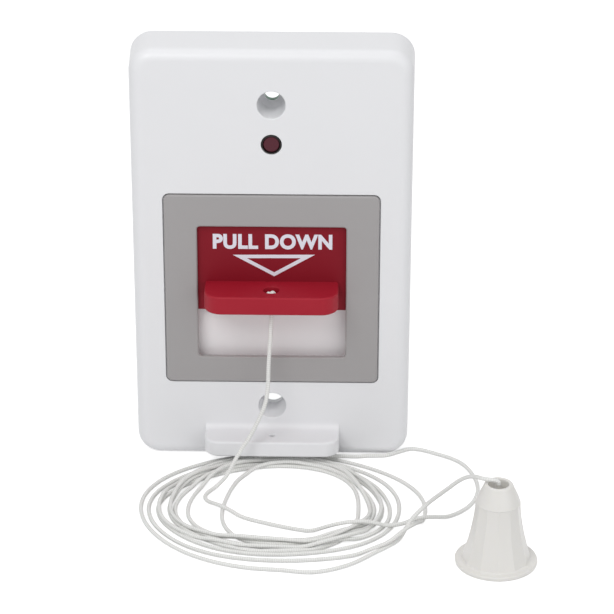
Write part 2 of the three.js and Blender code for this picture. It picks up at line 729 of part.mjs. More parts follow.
// Detent spring: a bent steel strip on two stakes, its nose just clear of the slide
function makeDetentSpring() {
  const seat = lowerWallFront + TRACK_WALL + PRESS_GAP;
  const back = seat + SPRING_THICKNESS;
  const nose = slideBack + PRESS_GAP;
  const slope = Math.atan2(seat - nose, SPRING_NOSE_HALF);
  const noseBack = nose + SPRING_THICKNESS / Math.cos(slope);
  const outerHalf = SPRING_NOSE_HALF - SPRING_THICKNESS * Math.tan(slope / 2);
  const strip = alongX([
    [seat, SPRING_AT - SPRING_HALF_LENGTH],
    [back, SPRING_AT - SPRING_HALF_LENGTH],
    [back, SPRING_AT - outerHalf],
    [noseBack, SPRING_AT],
    [back, SPRING_AT + outerHalf],
    [back, SPRING_AT + SPRING_HALF_LENGTH],
    [seat, SPRING_AT + SPRING_HALF_LENGTH],
    [seat, SPRING_AT + SPRING_NOSE_HALF],
    [nose, SPRING_AT],
    [seat, SPRING_AT - SPRING_NOSE_HALF],
  ], SPRING_WIDTH);
  const holes = springStakes(STAKE_RADIUS + PRESS_GAP, seat - CUT, back + CUT);
  addPiece(station, 'detent_spring', cutBy(strip, holes), STEEL);
}

// Indicator lamp and its black holder
function makeLampHolder() {
  const sleeve = LAMP_HOLE_RADIUS - PRESS_GAP;
  const bore = sleeve - LAMP_SLEEVE_WALL;
  const flangeFront = LAMP_COLLAR_DEPTH + PRESS_GAP;
  const flangeBack = flangeFront + LAMP_FLANGE_THICKNESS;
  const ring = turnedOnY([
    [bore, 0],
    [sleeve, 0],
    [sleeve, flangeFront],
    [sleeve + LAMP_FLANGE, flangeFront],
    [sleeve + LAMP_FLANGE, flangeBack],
    [bore, flangeBack],
    [bore, 0],
  ], 0, LAMP_HEIGHT, FACETS_LARGE);
  addPiece(station, 'lamp_holder', ring, BLACK_PLASTIC);
}

function makeLamp() {
  const profile = [[0, LAMP_SETBACK]];
  const steps = 5;
  for (let step = 1; step <= steps; step += 1) {
    const angle = step / steps * Math.PI / 2;
    profile.push([LAMP_RADIUS * Math.sin(angle), LAMP_SETBACK + LAMP_DOME_HEIGHT * (1 - Math.cos(angle))]);
  }
  const baseFront = LAMP_LENGTH - LAMP_BASE_THICKNESS;
  const baseRadius = LAMP_RADIUS + LAMP_BASE_LIP;
  profile.push([LAMP_RADIUS, baseFront], [baseRadius, baseFront]);
  profile.push([baseRadius, LAMP_LENGTH], [0, LAMP_LENGTH]);
  const legs = [-LAMP_LEG_PITCH / 2, LAMP_LEG_PITCH / 2].map((x) => (
    rod(LEAD_RADIUS, LAMP_LENGTH - OVERLAP, boardBack + LEAD_TAIL, x, LAMP_HEIGHT, FACETS_TINY)
  ));
  const body = turnedOnY(profile, 0, LAMP_HEIGHT, FACETS_LARGE);
  addPiece(station, 'indicator_lamp', joined([body, ...legs]), LAMP_RESIN);
}

// Parts with a wire at each end, lying along X on the front of the board
const AXIAL_PARTS = [
  {
    name: 'reed_switch',
    x: 0,
    z: MAGNET_HEIGHT_AT,
    radius: REED_RADIUS,
    length: REED_LENGTH,
    span: REED_SPAN,
    look: GLASS,
  },
  {
    name: 'resistor',
    x: -AXIAL_SPREAD,
    z: axialHeight,
    radius: RESISTOR_RADIUS,
    length: RESISTOR_LENGTH,
    span: RESISTOR_SPAN,
    look: RESISTOR_TAN,
  },
  {
    name: 'diode',
    x: AXIAL_SPREAD,
    z: axialHeight,
    radius: DIODE_RADIUS,
    length: DIODE_LENGTH,
    span: DIODE_SPAN,
    look: DIODE_BLACK,
  },
];

function axialBody(part, centre) {
  const half = part.length / 2;
  const [full, less] = [part.radius, part.radius - AXIAL_CHAMFER];
  const shoulder = half - AXIAL_CHAMFER;
  const profile = [[0, -half], [less, -half], [full, -shoulder], [full, shoulder], [less, half], [0, half]];
  const points = profile.map(([radius, along]) => new THREE.Vector2(radius, along));
  const geometry = new THREE.LatheGeometry(points, FACETS_MEDIUM);
  geometry.rotateZ(Math.PI / 2);
  geometry.translate(part.x, centre, part.z);
  return solidOf(geometry);
}

// One bent lead: along X out of the body, then back through the board.
function axialLead(part, centre, way) {
  const from = part.x + way * (part.length / 2 - OVERLAP);
  const bend = part.x + way * part.span / 2;
  const reach = bend + way * LEAD_HALF_WIDTH;
  const half = LEAD_HALF_WIDTH;
  const run = box(Math.min(from, reach), Math.max(from, reach), centre - half, centre + half,
    part.z - half, part.z + half);
  return run.add(rod(LEAD_RADIUS, centre, boardBack + LEAD_TAIL, bend, part.z, FACETS_TINY));
}

function makeAxialPart(part) {
  const centre = BOARD_FRONT - PRESS_GAP - part.radius;
  const pieces = [axialBody(part, centre), axialLead(part, centre, -1), axialLead(part, centre, 1)];
  addPiece(station, part.name, joined(pieces), part.look);
}

// Circuit board with its drilled holes
function makeBoard() {
  const board = panel(BOARD_WIDTH, boardTop - BOARD_BOTTOM, BOARD_CORNER, (boardTop + BOARD_BOTTOM) / 2, [
    [BOARD_FRONT, 0],
    [boardBack, 0],
  ], 3);
  const drill = (radius, x, z, facets = FACETS_SMALL) => (
    rod(radius, BOARD_FRONT - CUT, boardBack + CUT, x, z, facets)
  );
  const leadPair = (x, z, span) => [-span / 2, span / 2].map((way) => drill(LEAD_HOLE_RADIUS, x + way, z));
  const holes = [
    drill(BOARD_SCREW_HOLE, 0, upperScrewHeight, FACETS_LARGE),
    ...boardPosts.map(([x, z]) => drill(SCREW_RADIUS + GAP, x, z)),
    ...leadPair(0, LAMP_HEIGHT, LAMP_LEG_PITCH),
    ...AXIAL_PARTS.flatMap((part) => leadPair(part.x, part.z, part.span)),
    ...wirePostCentres.map(([x, z]) => drill(WIRE_POST_RADIUS + PRESS_GAP, x, z)),
  ];
  addPiece(station, 'circuit_board', cutBy(board, holes), BOARD_GREEN);
}

// Brass posts that the wires in the wall are soldered to
function makeWirePosts() {
  const front = BOARD_FRONT - LEAD_TAIL;
  const seat = boardBack + PRESS_GAP;
  const collar = seat + WIRE_POST_COLLAR;
  const waist = collar + WIRE_POST_WAIST;
  const tip = waist + WIRE_POST_COLLAR;
  const profile = [
    [0, front],
    [WIRE_POST_RADIUS, front],
    [WIRE_POST_RADIUS, seat],
    [WIRE_POST_HEAD, seat],
    [WIRE_POST_HEAD, collar],
    [WIRE_POST_RADIUS, collar],
    [WIRE_POST_RADIUS, waist],
    [WIRE_POST_HEAD, waist],
    [WIRE_POST_HEAD, tip],
    [0, tip],
  ];
  wirePostCentres.forEach(([x, z], at) => {
    addPiece(station, `wire_post_${at + 1}`, turnedOnY(profile, x, z, FACETS_SMALL), BRASS);
  });
}

// Pan head screw, driven from the back, with a cross recess
function makeScrew(name, x, z, seat) {
  const head = seat + SCREW_HEAD_HEIGHT;
  const tip = seat - SCREW_LENGTH;
  const body = turnedOnY([
    [0, tip],
    [SCREW_TIP_RADIUS, tip],
    [SCREW_RADIUS, tip + SCREW_TIP_LENGTH],
    [SCREW_RADIUS, seat],
    [SCREW_HEAD_RADIUS, seat],
    [SCREW_HEAD_RADIUS, head - SCREW_CROWN_HEIGHT],
    [SCREW_CROWN_RADIUS, head],
    [0, head],
  ], x, z, FACETS_MEDIUM);
  const slot = (halfX, halfZ) => (
    box(x - halfX, x + halfX, head - SCREW_RECESS, head + CUT, z - halfZ, z + halfZ)
  );
  const cross = [
    slot(SCREW_CROSS_REACH, SCREW_CROSS_HALF_WIDTH),
    slot(SCREW_CROSS_HALF_WIDTH, SCREW_CROSS_REACH),
  ];
  addPiece(station, name, cutBy(body, cross), STEEL);
}

function makeScrews() {
  earCentres.forEach(([x, z], at) => makeScrew(`track_screw_${at + 1}`, x, z, trackScrewSeat));
  boardPosts.forEach(([x, z], at) => makeScrew(`board_screw_${at + 1}`, x, z, boardScrewSeat));
}

// Bell pull: a fluted bell with a round shoulder and a flange
function bellRing(radius, flute, z) {
  const perFlute = 4;
  const count = BELL_FLUTES * perFlute;
  const ring = [];
  for (let at = 0; at < count; at += 1) {
    const turn = ((at % perFlute) / perFlute - 1 / 2) * 2 * Math.PI / BELL_FLUTES;
    const flat = Math.cos(Math.PI / BELL_FLUTES) / Math.cos(turn);
    const reach = radius * (1 + flute * (flat - 1));
    const angle = at / count * 2 * Math.PI;
    ring.push(new THREE.Vector3(BELL_X + reach * Math.cos(angle), BELL_Y + reach * Math.sin(angle), z));
  }
  return ring;
}

// Radius of the fluted body at a height between its foot and its shoulder.
function bellFlare(z) {
  const rise = Math.max(0, (z - bellFoot) / (BELL_SHOULDER_HEIGHT - bellFoot));
  return BELL_SHOULDER_RADIUS + (BELL_FOOT_RADIUS - BELL_SHOULDER_RADIUS) * (1 - rise) ** BELL_FLARE;
}

function bellOutside() {
  const rings = [
    bellRing(BELL_FLANGE_RADIUS - BELL_FLANGE_EDGE, 0, 0),
    bellRing(BELL_FLANGE_RADIUS, 0, BELL_FLANGE_EDGE),
    bellRing(BELL_FLANGE_RADIUS, 0, BELL_FLANGE_THICKNESS - BELL_FLANGE_EDGE),
    bellRing(BELL_FLANGE_RADIUS - BELL_FLANGE_EDGE, 0, BELL_FLANGE_THICKNESS),
    bellRing(BELL_FOOT_RADIUS + BELL_FOOT_FILLET, 1, BELL_FLANGE_THICKNESS),
  ];
  const steps = 8;
  for (let step = 0; step <= steps; step += 1) {
    const z = bellFoot + (BELL_SHOULDER_HEIGHT - bellFoot) * step / steps;
    rings.push(bellRing(bellFlare(z), 1, z));
  }
  rings.push(bellRing(BELL_SHOULDER_RADIUS, 0, BELL_SHOULDER_HEIGHT + BELL_SHOULDER_EDGE));
  rings.push(bellRing(BELL_CONE_RADIUS, 0, BELL_CONE_HEIGHT));
  const rim = roundedEdge(BELL_HEIGHT, BELL_RIM_EDGE, -1, 2).reverse();
  rings.push(...rim.map(([z, inset]) => bellRing(BELL_RIM_RADIUS - inset, 0, z)));
  return loft(rings);
}

function bellCavity() {
  const profile = [[0, -CUT], [bellFlare(0) - BELL_WALL, -CUT]];
  const steps = 4;
  for (let step = 0; step <= steps; step += 1) {
    const z = (bellWebBottom - BELL_WALL) * step / steps;
    profile.push([bellFlare(z) - BELL_WALL, z]);
  }
  profile.push([BELL_SHOULDER_RADIUS - 2 * BELL_WALL, bellWebBottom], [0, bellWebBottom]);
  return turnedOnZ(profile, BELL_X, BELL_Y, FACETS_LARGE);
}

function makeBellPull() {
  const mouthTop = BELL_HEIGHT + CUT;
  const mouth = uprightRod(BELL_MOUTH_RADIUS, bellMouthFloor, mouthTop, BELL_X, BELL_Y, FACETS_LARGE);
  const hole = uprightRod(BELL_HOLE_RADIUS, 0, BELL_HEIGHT, BELL_X, BELL_Y, FACETS_MEDIUM);
  addPiece(cordGroup, 'bell_pull', cutBy(bellOutside(), [bellCavity(), mouth, hole]), PULL_WHITE);
  const knot = knotBead(bellWebBottom - GAP - KNOT_HEIGHT, BELL_X, BELL_Y);
  addPiece(cordGroup, 'bell_knot', knot, CORD_WHITE);
}

// Cord: plain tubes along the stretches that are not coiled
const DROP_ROUTE = [[0, cordLine, 47], [0, cordLine, 45], [-0.4, -4.6, 38], [-1.2, -5.7, 30],
  [-1.7, -7.6, 20], [-2.6, -8.9, 15.2], [-3.7, -9.7, 12], [-5, -10.4, 8.6], [-6.6, -11.4, 5.8],
  [-8.3, -12.8, 4.1]];
const LOOP_ROUTE = [[17.5, -2.9, 0.6], [24, -0.9, 0.6], [30, -0.2, 0.6], [36, 1.6, 0.6], [41.1, 1.9, 0.6],
  [48.3, -5.1, 0.6], [51.8, -10, 0.6], [53.3, -16, 0.6], [53.2, -20.5, 0.6], [51.4, -25.3, 0.6],
  [48.3, -29, 0.6], [44, -32, 0.6], [40, -35.2, 0.6], [36.6, -38.3, 0.6]];
const TAIL_ROUTE = [[33.7, -43.4, 0.6], [38.2, -40.6, 1], [42, -39.3, 3.8], [45.4, -39, 9],
  [48.4, -41, 14.5], [51, -45, 20], [53, -48.8, 22.8], [54.8, -51.6, 23], [56, -53.3, 21.2],
  [BELL_X, BELL_Y, 18.6], [BELL_X, BELL_Y, 16.3]];

function cordTube(name, route, steps) {
  const points = route.map(([x, y, z]) => new THREE.Vector3(x, y, z));
  const curve = new THREE.CatmullRomCurve3(points, false, 'centripetal');
  const section = new THREE.Shape();
  for (let side = 0; side < CORD_SIDES; side += 1) {
    const angle = side / CORD_SIDES * 2 * Math.PI;
    const point = [CORD_RADIUS * Math.cos(angle), CORD_RADIUS * Math.sin(angle)];
    if (side === 0) {
      section.moveTo(...point);
    } else {
      section.lineTo(...point);
    }
  }
  section.closePath();
  const geometry = new THREE.ExtrudeGeometry(section, { steps, bevelEnabled: false, extrudePath: curve });
  addPiece(cordGroup, name, solidOf(geometry), CORD_WHITE);
}

// Coil: one ring of the outer shape of all the turns
function makeCoil() {
  const [inner, outer] = [COIL_MEAN_RADIUS - COIL_BAND / 2, COIL_MEAN_RADIUS + COIL_BAND / 2];
  const profile = [
    [inner + COIL_EDGE, 0],
    [outer - COIL_EDGE, 0],
    [outer, COIL_EDGE],
    [outer, COIL_HEIGHT - COIL_EDGE],
    [outer - COIL_EDGE, COIL_HEIGHT],
    [inner + COIL_EDGE, COIL_HEIGHT],
    [inner, COIL_HEIGHT - COIL_EDGE],
    [inner, COIL_EDGE],
    [inner + COIL_EDGE, 0],
  ];
  const points = profile.map(([radius, z]) => new THREE.Vector2(radius, z));
  const geometry = new THREE.LatheGeometry(points, COIL_FACETS);
  geometry.rotateX(Math.PI / 2);
  geometry.scale(1, COIL_SQUASH, 1);
  geometry.translate(COIL_CENTRE_X, COIL_CENTRE_Y, 0);
  addPiece(cordGroup, 'cord_coil', solidOf(geometry), CORD_WHITE);
}

makeCover();
makeBezel();
makeTrack();
makeDetentSpring();
makeLampHolder();
makeLamp();
makeBoard();
AXIAL_PARTS.forEach(makeAxialPart);
makeWirePosts();
makeScrews();
makeSlide();
makeMagnet();
makeSlideKnot();
cordTube('cord_drop', DROP_ROUTE, 18);
makeCoil();
cordTube('cord_loop', LOOP_ROUTE, 24);
cordTube('cord_tail', TAIL_ROUTE, 22);
makeBellPull();

// The origin is under the middle of the station, cord left out.
const alarm = new THREE.Group();
alarm.add(station, slideGroup, cordGroup);
alarm.position.y = -originY;

export default alarm;
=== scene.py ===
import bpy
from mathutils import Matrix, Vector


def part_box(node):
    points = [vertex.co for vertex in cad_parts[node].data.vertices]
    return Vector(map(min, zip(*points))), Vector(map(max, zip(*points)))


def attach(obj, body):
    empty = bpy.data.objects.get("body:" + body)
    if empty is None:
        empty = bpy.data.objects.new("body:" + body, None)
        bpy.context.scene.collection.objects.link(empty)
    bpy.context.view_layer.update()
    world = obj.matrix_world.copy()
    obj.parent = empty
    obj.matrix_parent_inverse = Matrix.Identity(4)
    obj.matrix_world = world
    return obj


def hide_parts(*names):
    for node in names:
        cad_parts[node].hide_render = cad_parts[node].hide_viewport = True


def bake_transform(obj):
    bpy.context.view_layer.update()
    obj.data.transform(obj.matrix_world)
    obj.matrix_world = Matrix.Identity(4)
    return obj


bl_info = {
    "name": "Emergency Pull Cord Alarm",
    "version": (1, 0, 0),
    "blender": (4, 5, 0),
    "location": "View3D > Sidebar > Alarm",
    "description": "Dresses the packed pull cord alarm: cover, bezel, slide, lamp, board, cord and bell pull",
    "category": "Object",
}

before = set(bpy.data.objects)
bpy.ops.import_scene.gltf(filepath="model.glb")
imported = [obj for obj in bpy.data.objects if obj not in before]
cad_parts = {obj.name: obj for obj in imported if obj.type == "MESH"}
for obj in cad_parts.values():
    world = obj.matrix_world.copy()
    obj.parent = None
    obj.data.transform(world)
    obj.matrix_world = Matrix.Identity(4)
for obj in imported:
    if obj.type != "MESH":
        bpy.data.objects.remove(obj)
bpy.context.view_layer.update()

import math

import bpy
import numpy as np
from bpy.props import FloatProperty, FloatVectorProperty, IntProperty, PointerProperty, StringProperty
from mathutils import Matrix, Vector

# Sizes are in millimetres, measured as x, depth behind the cover's front face, and z.
MM = 0.001
COVER_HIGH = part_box("front_cover")[1]
BEZEL_LOW, BEZEL_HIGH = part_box("bezel")
SLIDE_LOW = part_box("slide")[0]
BELL_LOW, BELL_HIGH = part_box("bell_pull")
LAMP_LOW, LAMP_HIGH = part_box("indicator_lamp")
COVER_DEPTH = 13
FRONT = COVER_HIGH[1] - COVER_DEPTH * MM
LAMP_Z = (LAMP_LOW[2] + LAMP_HIGH[2]) / 2 / MM
BELL_X = (BELL_LOW[0] + BELL_HIGH[0]) / 2 / MM
BELL_DEEP = ((BELL_LOW[1] + BELL_HIGH[1]) / 2 - FRONT) / MM
UPPER_TUNNEL_Z = 98.14
LOWER_TUNNEL_Z = 14.8
SLIDE_FACE = 0.9
CORD_FROM_PLATE = 5.25
CORD_DEEP = SLIDE_FACE - CORD_FROM_PLATE


def place(x, deep, z):
    """The point, in metres, that lies deep mm behind the plane of the cover's front face."""
    return Vector((x * MM, FRONT + deep * MM, z * MM))


def tone(red, green, blue):
    """A colour as seen on a screen, 0 to 255, as the linear colour that a shader takes."""
    def linear(value):
        value /= 255
        return value / 12.92 if value <= 0.04045 else ((value + 0.055) / 1.055) ** 2.4
    return (linear(red), linear(green), linear(blue), 1)


# Selecting and shaping

SHARP = 0.9

def activate(obj):
    bpy.ops.object.select_all(action="DESELECT")
    obj.select_set(True)
    bpy.context.view_layer.objects.active = obj


def select_parts(obj, part, test):
    """Leaves obj in edit mode with only the sharp edges or the faces that pass the test selected."""
    activate(obj)
    bpy.ops.object.mode_set(mode="EDIT")
    bpy.ops.mesh.select_mode(type=part)
    bpy.ops.mesh.select_all(action="DESELECT")
    bpy.ops.object.mode_set(mode="OBJECT")
    mesh = obj.data
    if part == "FACE":
        for face in mesh.polygons:
            face.select = test(face.center, face.normal)
    else:
        sides = {}
        for face in mesh.polygons:
            for key in face.edge_keys:
                sides.setdefault(key, []).append(face.normal.copy())
        for edge in mesh.edges:
            start, end = (mesh.vertices[at].co for at in edge.vertices)
            normals = sides.get(edge.key, [])
            sharp = len(normals) == 2 and normals[0].dot(normals[1]) < SHARP
            edge.select = sharp and test(start, end)
    bpy.ops.object.mode_set(mode="EDIT")


def leave_edit():
    bpy.ops.object.mode_set(mode="OBJECT")


def face_outward(obj):
    """Turns every face of a closed form outward."""
    select_parts(obj, "FACE", lambda centre, normal: True)
    bpy.ops.mesh.normals_make_consistent(inside=False)
    leave_edit()


def round_edges(obj, test, radius, segments):
    """Rounds the sharp edges whose two ends pass the test."""
    select_parts(obj, "EDGE", test)
    bpy.ops.mesh.bevel(offset=radius * MM, offset_type="OFFSET", segments=segments, profile=0.5, affect="EDGES")
    leave_edit()


def near(value, target, reach=0.02):
    return abs(value - target) < reach * MM


def block(name, low, high):
    """A box between two corners given in mm, with its place in its mesh."""
    start, end = place(*low), place(*high)
    bpy.ops.object.select_all(action="DESELECT")
    bpy.ops.mesh.primitive_cube_add(size=1, location=(start + end) / 2)
    obj = bpy.context.object
    obj.name = name
    obj.scale = end - start
    bpy.ops.object.transform_apply(location=True, rotation=True, scale=True)
    return obj


def rounded_block(name, low, high, corner, segments=10):
    """A box whose four edges along its depth are rounded."""
    obj = block(name, low, high)
    round_edges(obj, lambda a, b: near(a.x, b.x) and near(a.z, b.z), corner, segments)
    return obj


def turned(name, x, deep, z, profile, axis, sides=64):
    """A closed turned form: the profile holds [radius, height] pairs in mm along the axis."""
    first_radius, first_height = profile[0]
    bpy.ops.object.select_all(action="DESELECT")
    bpy.ops.mesh.primitive_circle_add(vertices=sides, radius=first_radius * MM, fill_type="NGON",
                                      location=(0, 0, first_height * MM))
    obj = bpy.context.object
    obj.name = name
    bpy.ops.object.transform_apply(location=True, rotation=True, scale=True)
    select_parts(obj, "FACE", lambda centre, normal: True)
    radius, height = first_radius, first_height
    for next_radius, next_height in profile[1:]:
        step = (0, 0, (next_height - height) * MM)
        bpy.ops.mesh.extrude_region_move(TRANSFORM_OT_translate={"value": step})
        factor = next_radius / radius
        bpy.ops.transform.resize(value=(factor, factor, 1), center_override=(0, 0, next_height * MM))
        radius, height = next_radius, next_height
    bpy.ops.mesh.select_all(action="SELECT")
    bpy.ops.mesh.normals_make_consistent(inside=False)
    leave_edit()
    turn = Matrix.Rotation(-math.pi / 2, 4, "X") if axis == "Y" else Matrix.Identity(4)
    obj.data.transform(Matrix.Translation(place(x, deep, z)) @ turn)
    return obj


def combine(obj, tool, operation):
    """Cuts the tool out of obj, or adds it, and removes the tool."""
    activate(obj)
    modifier = obj.modifiers.new("shape", "BOOLEAN")
    modifier.operation = operation
    modifier.solver = "EXACT"
    modifier.object = tool
    bpy.ops.object.modifier_apply(modifier=modifier.name)
    bpy.data.objects.remove(tool, do_unlink=True)


def cut(obj, *tools):
    for tool in tools:
        combine(obj, tool, "DIFFERENCE")


def add(obj, *tools):
    for tool in tools:
        combine(obj, tool, "UNION")


def smooth(obj, angle=32):
    """Smooth shading over rounded edges, with flat faces kept flat."""
    activate(obj)
    bpy.ops.object.shade_smooth_by_angle(angle=math.radians(angle))
    modifier = obj.modifiers.new("flat faces", "WEIGHTED_NORMAL")
    modifier.keep_sharp = True
    bpy.ops.object.modifier_apply(modifier=modifier.name)


def seat(obj, body, slot, material, *nodes):
    """Puts a finished piece on its body, in place of its CAD nodes."""
    finish(obj, slot, material, *nodes)
    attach(obj, body)


def finish(obj, slot, material, *nodes):
    obj.data.materials.clear()
    obj.data.materials.append(material)
    if nodes:
        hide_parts(*nodes)


def quarter(start_radius, start, radius, steps, grow=1):
    """Profile points of a quarter round that narrows to start_radius over a height of radius."""
    points = []
    for step in range(steps + 1):
        angle = step / steps * math.pi / 2
        points.append((start_radius + grow * radius * (1 - math.sin(angle)), start + radius * (1 - math.cos(angle))))
    return points


# Shader groups and materials

def new_group(name, inputs, outputs):
    group = bpy.data.node_groups.new(name, "ShaderNodeTree")
    for label, kind, value in inputs:
        socket = group.interface.new_socket(label, in_out="INPUT", socket_type=kind)
        socket.default_value = value
    for label, kind in outputs:
        group.interface.new_socket(label, in_out="OUTPUT", socket_type=kind)
    nodes = group.nodes
    return group, nodes.new("NodeGroupInput"), nodes.new("NodeGroupOutput")


def node(tree, kind, **values):
    made = tree.nodes.new(kind)
    for key, value in values.items():
        if hasattr(made, key):
            setattr(made, key, value)
        else:
            made.inputs[key.replace("_", " ").title()].default_value = value
    return made


def link(tree, source, target):
    tree.links.new(source, target)


def spread(tree, value, low, high):
    """Maps a mask from 0..1 to low..high; low and high may be sockets or numbers."""
    mapped = node(tree, "ShaderNodeMapRange")
    link(tree, value, mapped.inputs["Value"])
    for name, end in (("To Min", low), ("To Max", high)):
        if hasattr(end, "is_output"):
            link(tree, end, mapped.inputs[name])
        else:
            mapped.inputs[name].default_value = end
    return mapped.outputs["Result"]


def moulded_group():
    """Moulded plastic skin: fine grain, faint flow marks and a slight unevenness of colour."""
    group, given, made = new_group("moulded skin", [
        ("Color", "NodeSocketColor", (0.8, 0.8, 0.8, 1)),
        ("Shade", "NodeSocketFloat", 0.04),
        ("Grain", "NodeSocketFloat", 5000),
        ("Roughness", "NodeSocketFloat", 0.4),
    ], [("Color", "NodeSocketColor"), ("Roughness", "NodeSocketFloat"), ("Height", "NodeSocketFloat")])
    place_node = node(group, "ShaderNodeTexCoord")
    grain = node(group, "ShaderNodeTexNoise", detail=3)
    link(group, place_node.outputs["Object"], grain.inputs["Vector"])
    link(group, given.outputs["Grain"], grain.inputs["Scale"])
    cloud = node(group, "ShaderNodeTexNoise", scale=55, detail=4)
    link(group, place_node.outputs["Object"], cloud.inputs["Vector"])
    dark = node(group, "ShaderNodeHueSaturation", saturation=1.03)
    link(group, given.outputs["Color"], dark.inputs["Color"])
    lower = node(group, "ShaderNodeMath", operation="SUBTRACT")
    lower.inputs[0].default_value = 1
    link(group, given.outputs["Shade"], lower.inputs[1])
    link(group, lower.outputs[0], dark.inputs["Value"])
    mix = node(group, "ShaderNodeMix", data_type="RGBA")
    link(group, cloud.outputs["Fac"], mix.inputs["Factor"])
    link(group, dark.outputs["Color"], mix.inputs["A"])
    link(group, given.outputs["Color"], mix.inputs["B"])
    link(group, mix.outputs["Result"], made.inputs["Color"])
    low = node(group, "ShaderNodeMath", operation="SUBTRACT")
    link(group, given.outputs["Roughness"], low.inputs[0])
    low.inputs[1].default_value = 0.06
    high = node(group, "ShaderNodeMath", operation="ADD")
    link(group, given.outputs["Roughness"], high.inputs[0])
    high.inputs[1].default_value = 0.06
    link(group, spread(group, cloud.outputs["Fac"], low.outputs[0], high.outputs[0]), made.inputs["Roughness"])
    link(group, grain.outputs["Fac"], made.inputs["Height"])
    return group


def braid_group():
    """Braided cord: two crossing sets of strands along the piece's own UV map."""
    group, given, made = new_group("braid", [
        ("Color", "NodeSocketColor", (0.8, 0.8, 0.78, 1)),
        ("Strands Along", "NodeSocketFloat", 900),
        ("Strands Around", "NodeSocketFloat", 4),
    ], [("Color", "NodeSocketColor"), ("Height", "NodeSocketFloat")])
    place_node = node(group, "ShaderNodeTexCoord")
    split = node(group, "ShaderNodeSeparateXYZ")
    link(group, place_node.outputs["UV"], split.inputs["Vector"])
    along = node(group, "ShaderNodeMath", operation="MULTIPLY")
    link(group, split.outputs["X"], along.inputs[0])
    link(group, given.outputs["Strands Along"], along.inputs[1])
    around = node(group, "ShaderNodeMath", operation="MULTIPLY")
    link(group, split.outputs["Y"], around.inputs[0])
    link(group, given.outputs["Strands Around"], around.inputs[1])
    waves = []
    for operation in ("ADD", "SUBTRACT"):
        joined = node(group, "ShaderNodeMath", operation=operation)
        link(group, along.outputs[0], joined.inputs[0])
        link(group, around.outputs[0], joined.inputs[1])
        turn = node(group, "ShaderNodeMath", operation="MULTIPLY")
        link(group, joined.outputs[0], turn.inputs[0])
        turn.inputs[1].default_value = 2 * math.pi
        wave = node(group, "ShaderNodeMath", operation="SINE")
        link(group, turn.outputs[0], wave.inputs[0])
        waves.append(wave.outputs[0])
    both = node(group, "ShaderNodeMath", operation="MULTIPLY")
    link(group, waves[0], both.inputs[0])
    link(group, waves[1], both.inputs[1])
    height = node(group, "ShaderNodeMapRange")
    height.inputs["From Min"].default_value = -1
    link(group, both.outputs[0], height.inputs["Value"])
    dark = node(group, "ShaderNodeHueSaturation", value=0.8)
    link(group, given.outputs["Color"], dark.inputs["Color"])
    mix = node(group, "ShaderNodeMix", data_type="RGBA")
    link(group, height.outputs["Result"], mix.inputs["Factor"])
    link(group, dark.outputs["Color"], mix.inputs["A"])
    link(group, given.outputs["Color"], mix.inputs["B"])
    link(group, mix.outputs["Result"], made.inputs["Color"])
    link(group, height.outputs["Result"], made.inputs["Height"])
    return group


def metal_group():
    """Plated or drawn metal: fine lines, dull patches and a little tarnish."""
    group, given, made = new_group("drawn metal", [
        ("Color", "NodeSocketColor", (0.7, 0.7, 0.7, 1)),
        ("Roughness", "NodeSocketFloat", 0.3),
    ], [("Color", "NodeSocketColor"), ("Roughness", "NodeSocketFloat"), ("Height", "NodeSocketFloat")])
    place_node = node(group, "ShaderNodeTexCoord")
    stretch = node(group, "ShaderNodeMapping")
    stretch.inputs["Scale"].default_value = (900, 900, 9000)
    link(group, place_node.outputs["Object"], stretch.inputs["Vector"])
    lines = node(group, "ShaderNodeTexNoise", scale=1, detail=2)
    link(group, stretch.outputs["Vector"], lines.inputs["Vector"])
    patch = node(group, "ShaderNodeTexNoise", scale=700, detail=4)
    link(group, place_node.outputs["Object"], patch.inputs["Vector"])
    dark = node(group, "ShaderNodeHueSaturation", value=0.78)
    link(group, given.outputs["Color"], dark.inputs["Color"])
    mix = node(group, "ShaderNodeMix", data_type="RGBA")
    link(group, patch.outputs["Fac"], mix.inputs["Factor"])
    link(group, dark.outputs["Color"], mix.inputs["A"])
    link(group, given.outputs["Color"], mix.inputs["B"])
    link(group, mix.outputs["Result"], made.inputs["Color"])
    rough = node(group, "ShaderNodeMath", operation="MULTIPLY_ADD")
    link(group, lines.outputs["Fac"], rough.inputs[0])
    rough.inputs[1].default_value = 0.2
    link(group, given.outputs["Roughness"], rough.inputs[2])
    link(group, rough.outputs[0], made.inputs["Roughness"])
    link(group, lines.outputs["Fac"], made.inputs["Height"])
    return group


def shader_group(name):
    makers = {"moulded skin": moulded_group, "braid": braid_group, "drawn metal": metal_group}
    return bpy.data.node_groups.get(name) or makers[name]()


def material_from(name, group_name, values, bump, **settings):
    """A Principled material fed by a shader group, with a bump of the given depth in mm."""
    found = bpy.data.materials.get(name)
    if found:
        return found
    material = bpy.data.materials.new(name)
    material.use_nodes = True
    tree = material.node_tree
    shader = tree.nodes["Principled BSDF"]
    for key, value in settings.items():
        shader.inputs[key].default_value = value
    effect = tree.nodes.new("ShaderNodeGroup")
    effect.node_tree = shader_group(group_name)
    for key, value in values.items():
        effect.inputs[key].default_value = value
    link(tree, effect.outputs["Color"], shader.inputs["Base Color"])
    if "Roughness" in effect.outputs:
        link(tree, effect.outputs["Roughness"], shader.inputs["Roughness"])
    relief = tree.nodes.new("ShaderNodeBump")
    relief.inputs["Distance"].default_value = bump * MM
    link(tree, effect.outputs["Height"], relief.inputs["Height"])
    link(tree, relief.outputs["Normal"], shader.inputs["Normal"])
    return material


def plastic(name, color, roughness, shade=0.04, grain=5000, bump=0.004, **settings):
    values = {"Color": color, "Shade": shade, "Grain": grain, "Roughness": roughness}
    return material_from(name, "moulded skin", values, bump, **settings)


